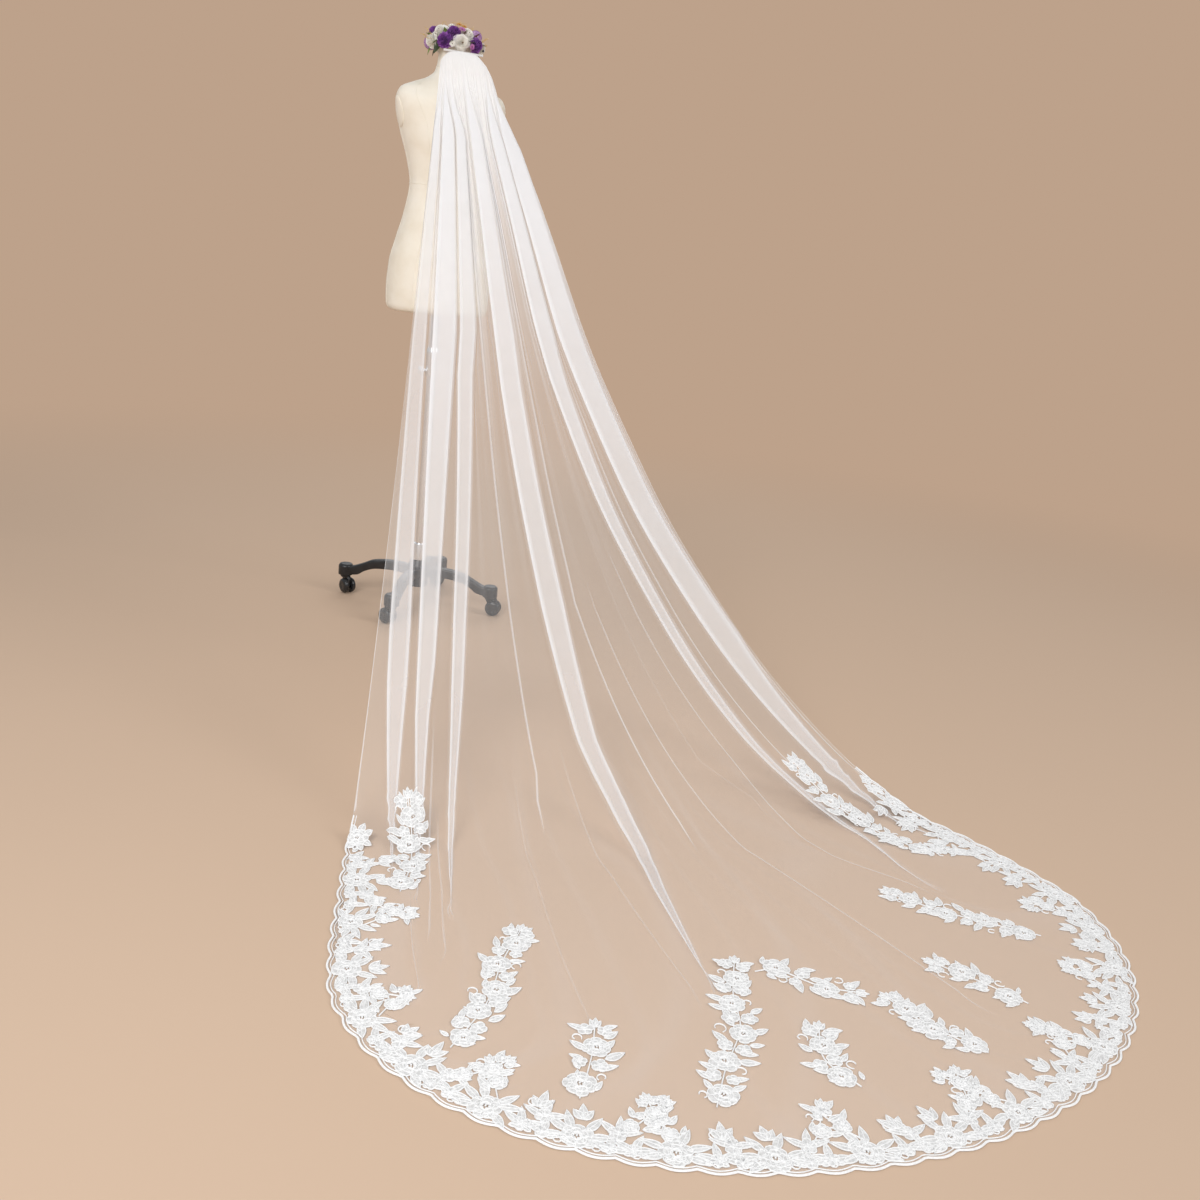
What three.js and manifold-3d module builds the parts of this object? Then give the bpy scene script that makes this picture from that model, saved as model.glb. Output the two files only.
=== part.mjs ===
// Cathedral bridal veil with a lace hem, worn by a limbless dress form on a rolling stand.
// Millimetres, +Z up. The form faces +Y and the train lies towards -Y.
// Shapes are worked out about the stand's pole on the floor, and the last lines
// move the whole to its reference point, the middle of its footprint on the floor.
import * as THREE from "three";
import { mergeVertices } from "three/addons/utils/BufferGeometryUtils.js";
import Module from "manifold-3d";

const wasm = await Module();
wasm.setup();

// Driving dimensions: gaps and cloth
const SEAM_GAP = 0.3;
const CLOTH_WALL = 1.2;
const LACE_WALL = 1.0;
const LACE_LIFT = 0.5;
const MERGE_DISTANCE = 1e-3;
const CUT_OVERRUN = 20;

// Driving dimensions: veil, measured as distance back from the pole
const VEIL_TOP_HEIGHT = 1690;
const VEIL_START_BACK = 85;
const VEIL_TOP_HALF_WIDTH = 60;
const VEIL_SPREAD = 0.39;
const TRAIN_HALF_WIDTH = 800;
const TRAIN_WIDTH_SOFTENING = 50;
const TRAIN_DRIFT = 115;
const TRAIN_DRIFT_BACK = 1630;
const TRAIN_DRIFT_LIMIT = 1.1;
const TOUCHDOWN = { left: 1600, middle: 1780, right: 1700 };
const HEM_STRAIGHT_END = 2050;
const HEM_DEPTH = 590;
const TRAIN_START = 1470;

// How far the cloth has fallen, for a taut stretch and for a slack one
const FALL = [
  { along: 0.0, taut: 1.0, slack: 1.0 },
  { along: 0.06, taut: 0.925, slack: 0.92 },
  { along: 0.12, taut: 0.84, slack: 0.832 },
  { along: 0.2, taut: 0.742, slack: 0.711 },
  { along: 0.3, taut: 0.618, slack: 0.554 },
  { along: 0.4, taut: 0.497, slack: 0.425 },
  { along: 0.5, taut: 0.385, slack: 0.309 },
  { along: 0.6, taut: 0.283, slack: 0.217 },
  { along: 0.7, taut: 0.19, slack: 0.136 },
  { along: 0.8, taut: 0.108, slack: 0.073 },
  { along: 0.88, taut: 0.055, slack: 0.034 },
  { along: 0.95, taut: 0.016, slack: 0.01 },
  { along: 1.0, taut: 0.0, slack: 0.0 },
];

// Each large fold: where it lies across the veil (-1 left, 1 right) and how far it
// overlaps, at three distances back. A ridge is a fold too narrow to overlap
const FOLD_STATIONS = [590, 1160, 1500];
const FOLDS = [
  { at: [-0.925, -0.89, -0.87], overlap: [30, 45, 34], ridge: false },
  { at: [-0.71, -0.766, -0.775], overlap: [58, 40, 22], ridge: false },
  { at: [-0.47, -0.598, -0.66], overlap: [38, 27, 14], ridge: false },
  { at: [-0.31, -0.342, -0.37], overlap: [9, 6, 5], ridge: true },
  { at: [-0.1, -0.121, -0.112], overlap: [50, 54, 36], ridge: false },
  { at: [0.09, 0.0, 0.045], overlap: [9, 7, 6], ridge: true },
  { at: [0.365, 0.52, 0.64], overlap: [55, 36, 44], ridge: false },
  { at: [0.74, 0.86, 0.87], overlap: [88, 106, 96], ridge: false },
];
const FOLD_END = TRAIN_START;
const LAYER_GAP = 7;
const RIDGE_HEIGHT = 7;
const FOLD_OPENING = { from: 190, to: 480 };
const FOLD_FADE = 260;
const COLUMNS_IN_FOLD = 8;
const COLUMNS_IN_RIDGE = 4;
const COLUMNS_BETWEEN = 2;
const PLEAT_WAVE = [0, 1, 0, -1];
const COLUMNS_PER_PLEAT = PLEAT_WAVE.length;
const PLEAT_SLOPE = 0.34;
const PLEAT_FADE = { from: 300, to: 760 };
const VEIL_ROWS = [
  99, 120, 160, 220, 300, 390, 490, 590, 710, 850, 1000, 1160, 1320, TRAIN_START,
];
const TRAIN_ROWS = [0.14, 0.3, 0.5, 0.68, 0.84];
const SIDE_CROWDING = 0.65;
const TRAIN_COLUMNS = 36;

// Driving dimensions: lace hem
const HEM_START_BACK = 1500;
const HEM_SIDE_STEPS = 8;
const HEM_ROUND_STEPS = 40;
const LACE_REPEATS = 19;
const SCALLOPS_PER_REPEAT = 3;
const POINTS_PER_SCALLOP = 2;
const SCALLOP_DEPTH = 7;
const SCALLOP_FADE = 0.03;
const HEM_CORD_WIDTH = 9;
const BORDER_FIRST = 0.035;
const BORDER_LAST = 0.965;
const LACE_PRISM_BOTTOM = -6;
const LACE_PRISM_HEIGHT = 260;
const LEAF_ROOT = 4;
const LEAF_WIDEST = 0.42;
const PETAL_NOTCH = 0.8;
const BORDER = {
  rosePetals: 4, roseInward: 27, roseRadius: 25,
  budPetals: 3, budShare: 0.021, budInward: 21, budRadius: 17,
  stem: 6, tipShare: 0.004, tipInward: 84, bendInward: 58,
  leafLength: 32, leafWidth: 17, leafTurns: [0.95, -1.15], tipLeafTurn: 0.35, tipLeafSize: 0.9,
};
const SPRIG = {
  stem: 6, petals: 4, flowerSpacing: 74, flowerStart: 0.7, flowerOffset: 9, flowerTurn: 7,
  smallFlower: 15, largeFlower: 22, sizeTurn: 2.4,
  leafSpacing: 46, leafStart: 0.15, leafLength: 38, leafWidth: 18, leafTurn: 0.9, footLeafSize: 1.1,
};
// Each sprig's stem, across and back from the pole, from its tip to its foot
const SPRIGS = [
  {
    name: "left_climb",
    across: [-392, -404, -424, -446],
    back: [1530, 1605, 1675, 1735],
  },
  {
    name: "left_wave",
    across: [-288, -352, -412, -478],
    back: [1945, 2035, 2140, 2215],
  },
  {
    name: "left_small",
    across: [-262, -292, -345],
    back: [2235, 2300, 2372],
  },
  {
    name: "middle_tall",
    across: [60, 12, -20, -92, -150],
    back: [2128, 2215, 2300, 2375, 2438],
  },
  {
    name: "middle_fork",
    across: [236, 176, 112],
    back: [2258, 2262, 2215],
  },
  {
    name: "middle_small",
    across: [112, 78, 84],
    back: [2338, 2395, 2462],
  },
  {
    name: "right_wave",
    across: [285, 292, 338, 372],
    back: [2290, 2350, 2405, 2448],
  },
  {
    name: "right_small",
    across: [440, 492, 536],
    back: [2212, 2285, 2362],
  },
  {
    name: "right_long",
    across: [508, 548, 628, 712],
    back: [1972, 2050, 2120, 2170],
  },
  {
    name: "right_climb",
    across: [556, 588, 630, 664],
    back: [1535, 1612, 1700, 1800],
  },
];

// Driving dimensions: stand
const STAR_RADIUS = 248;
const STAR_TURN_DEG = -32.5;
const LEG_WIDTH = 30;
const LEG_TOP = [
  { out: 10, z: 128 },
  { out: 90, z: 131 },
  { out: 150, z: 124 },
  { out: 195, z: 104 },
  { out: 228, z: 90 },
];
const LEG_UNDER = [
  { out: 228, z: 62 },
  { out: 205, z: 66 },
  { out: 180, z: 82 },
  { out: 140, z: 96 },
  { out: 80, z: 100 },
  { out: 10, z: 92 },
];
const BOSS_RADIUS = 24;
const BOSS_BOTTOM = 59;
const BOSS_TOP = 97;
const BOSS_EDGE = 5;
const BOSS_SIDES = 12;
const HUB_RADIUS = 34;
const HUB_BOTTOM = 62;
const HUB_SHOULDER = 128;
const HUB_TOP = 205;
const HUB_NECK = 30;
const HUB_NECK_WALL = 9;
const HUB_LIP_WALL = 5;
const HUB_SIDES = 14;
const POLE_RADIUS = 15;
const POLE_SIDES = 16;
const POLE_IN_HUB = 90;
const POLE_IN_FORM = 60;
const COLLAR_BOTTOM = 745;
const COLLAR_TOP = 835;
const COLLAR_RADIUS = 21;
const COLLAR_TAPER = 12;
const COLLAR_LIP = 3;
const KNOB_HEIGHT = 762;
const KNOB_SIDES = 10;
const KNOB = { root: 18, neck: 29, shoulder: 31, face: 43, tip: 45, shaft: 5, head: 12 };
const STEM_RADIUS = 5;
const STEM_TOP = 86;
const STEM_SIDES = 10;
const SWIVEL_DISC = { radius: 16, thickness: 7.5 };
const HOUSING = { round: 12, front: 11, rear: 8, waist: 12, waistHeight: 22, fullness: 10 };
const WHEEL_RADIUS = 25;
const WHEEL_SIDES = 12;
const WHEEL_INNER = 6.8;
const WHEEL_OUTER = 22;
const HOUSING_HALF_WIDTH = WHEEL_INNER - 1;
const WHEEL_ROUNDING = { hub: 8, shoulder: 2, shoulderIn: 5, treadIn: 9, inner: 1 };
const AXLE_RADIUS = 4;
const CASTER_TRAIL = 14;
const CASTER_TURNS_DEG = [150, 40, 110, -60];

// Form: heights with half width, half depth and how far the middle sits forward
const FORM_RINGS = [
  { z: 940, halfWidth: 138, halfDepth: 92, forward: 0 },
  { z: 944, halfWidth: 148, halfDepth: 102, forward: 0 },
  { z: 960, halfWidth: 156, halfDepth: 110, forward: 0 },
  { z: 1010, halfWidth: 158, halfDepth: 113, forward: 0 },
  { z: 1080, halfWidth: 154, halfDepth: 111, forward: 0 },
  { z: 1150, halfWidth: 138, halfDepth: 101, forward: 0 },
  { z: 1230, halfWidth: 117, halfDepth: 90, forward: 2 },
  { z: 1311, halfWidth: 105, halfDepth: 82, forward: 4 },
  { z: 1380, halfWidth: 118, halfDepth: 92, forward: 6 },
  { z: 1450, halfWidth: 141, halfDepth: 106, forward: 6 },
  { z: 1510, halfWidth: 158, halfDepth: 97, forward: -2 },
  { z: 1548, halfWidth: 163, halfDepth: 80, forward: -8 },
  { z: 1572, halfWidth: 153, halfDepth: 64, forward: -8 },
  { z: 1590, halfWidth: 118, halfDepth: 54, forward: -6 },
  { z: 1608, halfWidth: 76, halfDepth: 48, forward: -3 },
  { z: 1630, halfWidth: 52, halfDepth: 46, forward: 0 },
  { z: 1665, halfWidth: 45, halfDepth: 45, forward: 0 },
  { z: 1712, halfWidth: 45, halfDepth: 45, forward: 0 },
];
const FORM_SIDES = 20;
const FORM_SQUARENESS = 2.25;
const NECK_CAP = { thickness: 6, inset: 1, edge: 3, bevel: 4, sides: 18 };
const ARM_PLATE = { height: 1505, forward: -6, halfTall: 42, halfDeep: 30, thickness: 4, sides: 14 };

// Wreath and comb
const RING_HEIGHT = 1710;
const RING_TUBE = 5;
const RING_RADIUS = 53;
const RING_TUBE_SIDES = 6;
const RING_SIDES = 18;
const FLOWER_TIERS = [
  { name: "low", count: 9, tilt: -12, offset: 0, first: 0, seat: -0.8 },
  { name: "high", count: 9, tilt: 70, offset: 20, first: 2, seat: SEAM_GAP },
];
const FLOWER_KINDS = [
  "rose", "violet", "rose", "lilac", "violet", "rose", "lilac", "rose", "violet",
];
const FLOWER_RADIUS = 17.6;
const FLOWER_PETALS = 4;
const FLOWER_LEVELS = 4;
const PETAL_DENT = 0.12;
const LEAF_THICKNESS = 1.6;
const LEAF_WIDTH = 11;
const LEAF_START = 1;
const WREATH_LEAF_WIDEST = 0.55;
const WREATH_LEAVES = [
  { turn: 60, tilt: -52, length: 46 },
  { turn: 100, tilt: -46, length: 44 },
  { turn: 140, tilt: -52, length: 46 },
  { turn: 220, tilt: -48, length: 44 },
  { turn: 260, tilt: -52, length: 46 },
  { turn: 300, tilt: -50, length: 46 },
  { turn: 0, tilt: 116, length: 50 },
  { turn: 80, tilt: 114, length: 52 },
  { turn: 160, tilt: 118, length: 50 },
  { turn: 200, tilt: 114, length: 54 },
  { turn: 280, tilt: 116, length: 50 },
];
const COMB = {
  width: 84, back: 93, height: 1674.5, bar: 4, margin: 3,
  teeth: 10, toothWidth: 2, toothLength: 48.1,
};
const BAND = { height: 1676.9, back: 97.5, tall: 6, thick: 4, width: 116 };

const group = new THREE.Group();
const UP = new THREE.Vector3(0, 0, 1);

// Small maths
const lerp = (a, b, t) => a + (b - a) * t;
const clamp01 = (t) => Math.min(1, Math.max(0, t));
const smooth = (t) => clamp01(t) * clamp01(t) * (3 - 2 * clamp01(t));
const radians = (deg) => (deg * Math.PI) / 180;

function alongTable(rows, key, value, x) {
  if (x <= rows[0][key]) return rows[0][value];
  for (let i = 1; i < rows.length; i += 1) {
    if (x <= rows[i][key]) {
      const t = (x - rows[i - 1][key]) / (rows[i][key] - rows[i - 1][key]);
      return lerp(rows[i - 1][value], rows[i][value], t);
    }
  }
  return rows[rows.length - 1][value];
}

function alongStations(values, back) {
  const [a, b, c] = FOLD_STATIONS;
  if (back <= b) return lerp(values[0], values[1], clamp01((back - a) / (b - a)));
  return lerp(values[1], values[2], clamp01((back - b) / (c - b)));
}

// Solids from closed meshes
function toSolid(geometry) {
  const bare = geometry.clone();
  bare.deleteAttribute("normal");
  if (bare.attributes.uv) bare.deleteAttribute("uv");
  const merged = mergeVertices(bare, MERGE_DISTANCE);
  return new wasm.Manifold(new wasm.Mesh({
    numProp: 3,
    vertProperties: new Float32Array(merged.attributes.position.array),
    triVerts: new Uint32Array(merged.index.array),
  }));
}

function fromSolid(solid) {
  const mesh = solid.getMesh();
  const geometry = new THREE.BufferGeometry();
  geometry.setAttribute("position", new THREE.BufferAttribute(mesh.vertProperties, 3));
  geometry.setIndex(new THREE.BufferAttribute(mesh.triVerts, 1));
  geometry.computeVertexNormals();
  return geometry;
}

function joined(geometries) {
  let solid = toSolid(geometries[0]);
  for (const geometry of geometries.slice(1)) solid = solid.add(toSolid(geometry));
  return fromSolid(solid);
}

function indexed(points, faces) {
  const geometry = new THREE.BufferGeometry();
  geometry.setAttribute("position", new THREE.Float32BufferAttribute(points.flat(), 3));
  geometry.setIndex(faces.flat());
  geometry.computeVertexNormals();
  return geometry;
}

function addPiece(name, geometry, look) {
  const mesh = new THREE.Mesh(geometry, new THREE.MeshStandardMaterial(look));
  mesh.name = name;
  group.add(mesh);
  return mesh;
}

const LOOK = {
  tulle: { color: 0xf6f3f0, roughness: 0.6, metalness: 0, side: THREE.DoubleSide },
  lace: { color: 0xfffdfa, roughness: 0.7, metalness: 0 },
  linen: { color: 0xe9e0cc, roughness: 0.85, metalness: 0 },
  black: { color: 0x17171a, roughness: 0.4, metalness: 0.1 },
  wheel: { color: 0x1c1c1e, roughness: 0.3, metalness: 0 },
  steel: { color: 0xb9bcc0, roughness: 0.3, metalness: 1 },
  vine: { color: 0x2f3b1e, roughness: 0.8, metalness: 0 },
  rose: { color: 0xf7f1e6, roughness: 0.7, metalness: 0 },
  violet: { color: 0x6a2aa0, roughness: 0.7, metalness: 0 },
  lilac: { color: 0xb58ad0, roughness: 0.7, metalness: 0 },
};

// The veil's fall and spread
function halfWidthAt(back) {
  const straight = VEIL_TOP_HALF_WIDTH + VEIL_SPREAD * (back - VEIL_START_BACK);
  const k = TRAIN_WIDTH_SOFTENING;
  return -k * Math.log(Math.exp(-straight / k) + Math.exp(-TRAIN_HALF_WIDTH / k));
}

function middleAt(back) {
  const t = (back - VEIL_START_BACK) / (TRAIN_DRIFT_BACK - VEIL_START_BACK);
  return TRAIN_DRIFT * Math.min(TRAIN_DRIFT_LIMIT, Math.max(0, t));
}

function heightAt(across, back) {
  const side = across < 0 ? TOUCHDOWN.left : TOUCHDOWN.right;
  const reach = lerp(TOUCHDOWN.middle, side, Math.min(1, Math.abs(across)));
  const along = clamp01((back - VEIL_START_BACK) / (reach - VEIL_START_BACK));
  const slack = clamp01((1 + across) / 2);
  const taut = alongTable(FALL, "along", "taut", along);
  const loose = alongTable(FALL, "along", "slack", along);
  return VEIL_TOP_HEIGHT * lerp(taut, loose, slack) + CLOTH_WALL / 2;
}

function fallPoint(across, back) {
  const x = middleAt(back) + across * halfWidthAt(back);
  return new THREE.Vector3(x, -back, heightAt(across, back));
}

function fallNormal(across, back) {
  const aside = 0.01;
  const ahead = 4;
  const du = fallPoint(across + aside, back).sub(fallPoint(across - aside, back));
  const dv = fallPoint(across, back + ahead).sub(fallPoint(across, back - ahead));
  return dv.cross(du).normalize();
}

// Columns across the veil: a few between folds and more inside each fold
function veilColumns() {
  const columns = [];
  const addBetween = () => {
    for (let i = 0; i < COLUMNS_BETWEEN; i += 1) {
      columns.push({ fold: -1, step: 0 });
    }
  };
  FOLDS.forEach((fold, k) => {
    addBetween();
    const count = fold.ridge ? COLUMNS_IN_RIDGE : COLUMNS_IN_FOLD;
    for (let i = 0; i < count; i += 1) columns.push({ fold: k, step: i });
  });
  addBetween();
  columns.forEach((column, i) => {
    column.share = i / (columns.length - 1);
  });
  return columns;
}

// A flattened fold of three layers, from its first column to its last
function foldShape(step, overlap, gap) {
  const half = overlap / 2;
  const shape = [
    [-half - gap, 0], [half, 0], [half + gap / 2, gap / 2], [half, gap],
    [-half, gap], [-half - gap / 2, 1.5 * gap], [-half, 2 * gap], [half + gap, 2 * gap],
  ];
  return shape[step];
}

function ridgeShape(step, width) {
  const shape = [[-width, 0], [-width / 3, RIDGE_HEIGHT], [width / 3, RIDGE_HEIGHT], [width, 0]];
  return shape[step];
}

function foldAmount(back) {
  const opened = smooth((back - FOLD_OPENING.from) / (FOLD_OPENING.to - FOLD_OPENING.from));
  const faded = smooth((FOLD_END - back) / FOLD_FADE);
  return opened * faded;
}

// One row of the veil: places of all its columns at one distance back
function veilRow(back, columns) {
  const half = halfWidthAt(back);
  const amount = foldAmount(back);
  const states = FOLDS.map((fold, k) => {
    const first = columns.findIndex((column) => column.fold === k);
    const count = fold.ridge ? COLUMNS_IN_RIDGE : COLUMNS_IN_FOLD;
    const last = first + count - 1;
    const overlap = alongStations(fold.overlap, back) * amount;
    const centreShare = (columns[first].share + columns[last].share) / 2;
    const centre = lerp(2 * centreShare - 1, alongStations(fold.at, back), amount);
    const flatReach = (columns[last].share - columns[first].share) * half;
    const foldReach = fold.ridge ? overlap : overlap / 2 + LAYER_GAP;
    const reach = lerp(flatReach, foldReach, amount);
    return { fold, first, last, overlap, centre: centre * half, reach };
  });
  const pleatFade = 1 - smooth((back - PLEAT_FADE.from) / (PLEAT_FADE.to - PLEAT_FADE.from));
  const pitch = (2 * half * COLUMNS_PER_PLEAT) / columns.length;
  const pleat = PLEAT_SLOPE * pitch * pleatFade;
  return columns.map((column, i) => {
    let x;
    let out = 0;
    let flatness = 1;
    if (column.fold >= 0) {
      const state = states[column.fold];
      const t = (i - state.first) / (state.last - state.first);
      const flatX = state.centre + lerp(-state.reach, state.reach, t);
      const [foldX, foldOut] = state.fold.ridge
        ? ridgeShape(column.step, state.overlap)
        : foldShape(column.step, state.overlap, LAYER_GAP);
      x = lerp(flatX, state.centre + foldX, amount);
      out = foldOut * amount;
      flatness = 1 - amount;
    } else {
      const before = states.filter((state) => state.last < i).pop();
      const after = states.find((state) => state.first > i);
      const fromX = before ? before.centre + before.reach : -half;
      const toX = after ? after.centre - after.reach : half;
      const fromI = before ? before.last : 0;
      const toI = after ? after.first : columns.length - 1;
      const t = (i - fromI) / (toI - fromI);
      x = lerp(fromX, toX, t);
      const raised = before && !before.fold.ridge ? 2 * LAYER_GAP * amount : 0;
      out = raised * (1 - t);
    }
    out += PLEAT_WAVE[i % COLUMNS_PER_PLEAT] * pleat * flatness;
    const across = x / half;
    const point = fallPoint(across, back).addScaledVector(fallNormal(across, back), out);
    return { share: column.share, point };
  });
}

// The hem: down the left edge, round the train's end and up the right edge
function hemCurve() {
  const points = [];
  for (let i = 0; i < HEM_SIDE_STEPS; i += 1) {
    const back = lerp(HEM_START_BACK, HEM_STRAIGHT_END, i / HEM_SIDE_STEPS);
    points.push(new THREE.Vector2(middleAt(back) - halfWidthAt(back), -back));
  }
  const middle = middleAt(HEM_STRAIGHT_END);
  const side = halfWidthAt(HEM_STRAIGHT_END);
  for (let i = 0; i <= HEM_ROUND_STEPS; i += 1) {
    const turn = Math.PI * (i / HEM_ROUND_STEPS);
    const x = middle - side * Math.cos(turn);
    points.push(new THREE.Vector2(x, -HEM_STRAIGHT_END - HEM_DEPTH * Math.sin(turn)));
  }
  for (let i = HEM_SIDE_STEPS - 1; i >= 0; i -= 1) {
    const back = lerp(HEM_START_BACK, HEM_STRAIGHT_END, i / HEM_SIDE_STEPS);
    points.push(new THREE.Vector2(middleAt(back) + halfWidthAt(back), -back));
  }
  return new THREE.SplineCurve(points);
}

const hem = hemCurve();

// A point at a share of the hem's length, moved in from the edge by a distance
function hemPoint(share, inward) {
  const point = hem.getPointAt(clamp01(share));
  const tangent = hem.getTangentAt(clamp01(share));
  return new THREE.Vector2(point.x - tangent.y * inward, point.y + tangent.x * inward);
}

function scallopAt(share) {
  const wave = Math.abs(Math.sin(Math.PI * LACE_REPEATS * SCALLOPS_PER_REPEAT * share));
  const fade = smooth(Math.min(share, 1 - share) / SCALLOP_FADE);
  return SCALLOP_DEPTH * wave * fade;
}

function onTrain(x, y) {
  const back = -y;
  const across = (x - middleAt(back)) / halfWidthAt(back);
  return new THREE.Vector3(x, y, heightAt(across, back));
}

// Columns lie closer together towards the train's two sides, where it rises
function crowded(t) {
  return lerp(t, 0.5 - 0.5 * Math.cos(Math.PI * t), SIDE_CROWDING);
}

function trainRow(t, count, spread = crowded) {
  const row = [];
  for (let i = 0; i <= count; i += 1) {
    const share = spread(i / count);
    const inner = fallPoint(2 * share - 1, TRAIN_START);
    const edge = hemPoint(share, -scallopAt(share));
    row.push({ share, point: onTrain(lerp(inner.x, edge.x, t), lerp(inner.y, edge.y, t)) });
  }
  return row;
}

// A sheet joins rows that may have different numbers of points
function sheet(rows) {
  const points = [];
  const faces = [];
  const starts = rows.map((row) => {
    const start = points.length;
    row.forEach((item) => points.push(item.point));
    return start;
  });
  for (let r = 1; r < rows.length; r += 1) {
    const upper = rows[r - 1];
    const lower = rows[r];
    let i = 0;
    let j = 0;
    while (i < upper.length - 1 || j < lower.length - 1) {
      const nextUpper = i < upper.length - 1 ? upper[i + 1].share : Infinity;
      const nextLower = j < lower.length - 1 ? lower[j + 1].share : Infinity;
      const a = starts[r - 1] + i;
      const b = starts[r] + j;
      if (nextUpper <= nextLower) {
        faces.push([a, b, a + 1]);
        i += 1;
      } else {
        faces.push([a, b, b + 1]);
        j += 1;
      }
    }
  }
  return { points, faces, rows, starts };
}

function sheetNormals(panel) {
  const normals = panel.points.map(() => new THREE.Vector3());
  for (const [a, b, c] of panel.faces) {
    const side = panel.points[b].clone().sub(panel.points[a]);
    const face = side.cross(panel.points[c].clone().sub(panel.points[a]));
    normals[a].add(face);
    normals[b].add(face);
    normals[c].add(face);
  }
  return normals.map((normal) => normal.normalize());
}

// A wall between two offsets from the sheet's points
function wall(panel, inner, outer, normals = sheetNormals(panel)) {
  const count = panel.points.length;
  const shifted = (offset) => panel.points.map((point, i) => {
    const moved = point.clone().addScaledVector(normals[i], offset);
    return [moved.x, moved.y, moved.z];
  });
  const faces = [];
  for (const [a, b, c] of panel.faces) {
    faces.push([a + count, b + count, c + count]);
    faces.push([a, c, b]);
  }
  const edges = new Map();
  for (const [a, b, c] of panel.faces) {
    for (const [p, q] of [[a, b], [b, c], [c, a]]) {
      const back = `${q},${p}`;
      if (edges.has(back)) edges.delete(back);
      else edges.set(`${p},${q}`, [p, q]);
    }
  }
  for (const [p, q] of edges.values()) {
    faces.push([p, q, q + count]);
    faces.push([p, q + count, p + count]);
  }
  return indexed([...shifted(inner), ...shifted(outer)], faces);
}

const columns = veilColumns();
const hangingRows = VEIL_ROWS.map((back) => veilRow(back, columns));
const trainInner = TRAIN_ROWS.map((t) => trainRow(t, TRAIN_COLUMNS));
const even = (t) => t;
const hemColumns = LACE_REPEATS * SCALLOPS_PER_REPEAT * POINTS_PER_SCALLOP;
const hemRow = trainRow(1, hemColumns, even);
const veilPanel = sheet([...hangingRows, ...trainInner, hemRow]);
addPiece("veil_tulle", wall(veilPanel, -CLOTH_WALL / 2, CLOTH_WALL / 2), LOOK.tulle);

// Lace: outlines drawn flat, then cut out of a thin layer raised over the veil
const lacePanel = {
  points: veilPanel.points,
  faces: veilPanel.faces.filter((face) => {
    return Math.min(...face) >= veilPanel.starts[hangingRows.length - 1];
  }),
};
const laceBase = CLOTH_WALL / 2 + LACE_LIFT;
const veilNormals = sheetNormals(veilPanel);
const laceLayer = toSolid(wall(lacePanel, laceBase, laceBase + LACE_WALL, veilNormals));

function prism(outline) {
  const shape = new THREE.Shape(outline.map(([x, y]) => new THREE.Vector2(x, y)));
  const geometry = new THREE.ExtrudeGeometry(shape, {
    depth: LACE_PRISM_HEIGHT, bevelEnabled: false,
  });
  geometry.translate(0, 0, LACE_PRISM_BOTTOM);
  return geometry;
}

function placed(outline, x, y, turn, size = 1) {
  const c = Math.cos(turn) * size;
  const s = Math.sin(turn) * size;
  return outline.map(([px, py]) => [x + c * px - s * py, y + s * px + c * py]);
}

function leafOutline(length, width) {
  const widest = LEAF_WIDEST * length;
  return [[-LEAF_ROOT, 0], [widest, -width / 2], [length, 0], [widest, width / 2]];
}

function blossomOutline(radius, petals) {
  const outline = [];
  for (let i = 0; i < petals * 2; i += 1) {
    const reach = i % 2 === 0 ? radius : radius * PETAL_NOTCH;
    const turn = (Math.PI * i) / petals;
    outline.push([reach * Math.cos(turn), reach * Math.sin(turn)]);
  }
  return outline;
}

function ribbonOutline(path, width) {
  const left = [];
  const right = [];
  path.forEach(([x, y], i) => {
    const a = path[Math.max(0, i - 1)];
    const b = path[Math.min(path.length - 1, i + 1)];
    const length = Math.hypot(b[0] - a[0], b[1] - a[1]);
    const nx = (-(b[1] - a[1]) / length) * (width / 2);
    const ny = ((b[0] - a[0]) / length) * (width / 2);
    left.push([x + nx, y + ny]);
    right.push([x - nx, y - ny]);
  });
  return [...left, ...right.reverse()];
}

function largestBody(solid) {
  return solid.decompose().sort((a, b) => b.volume() - a.volume())[0];
}

function laceSolid(outlines) {
  let drawn = toSolid(prism(outlines[0]));
  for (const outline of outlines.slice(1)) drawn = drawn.add(toSolid(prism(outline)));
  const cut = fromSolid(largestBody(drawn.intersect(laceLayer)));
  return fromSolid(largestBody(toSolid(cut)));
}

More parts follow.
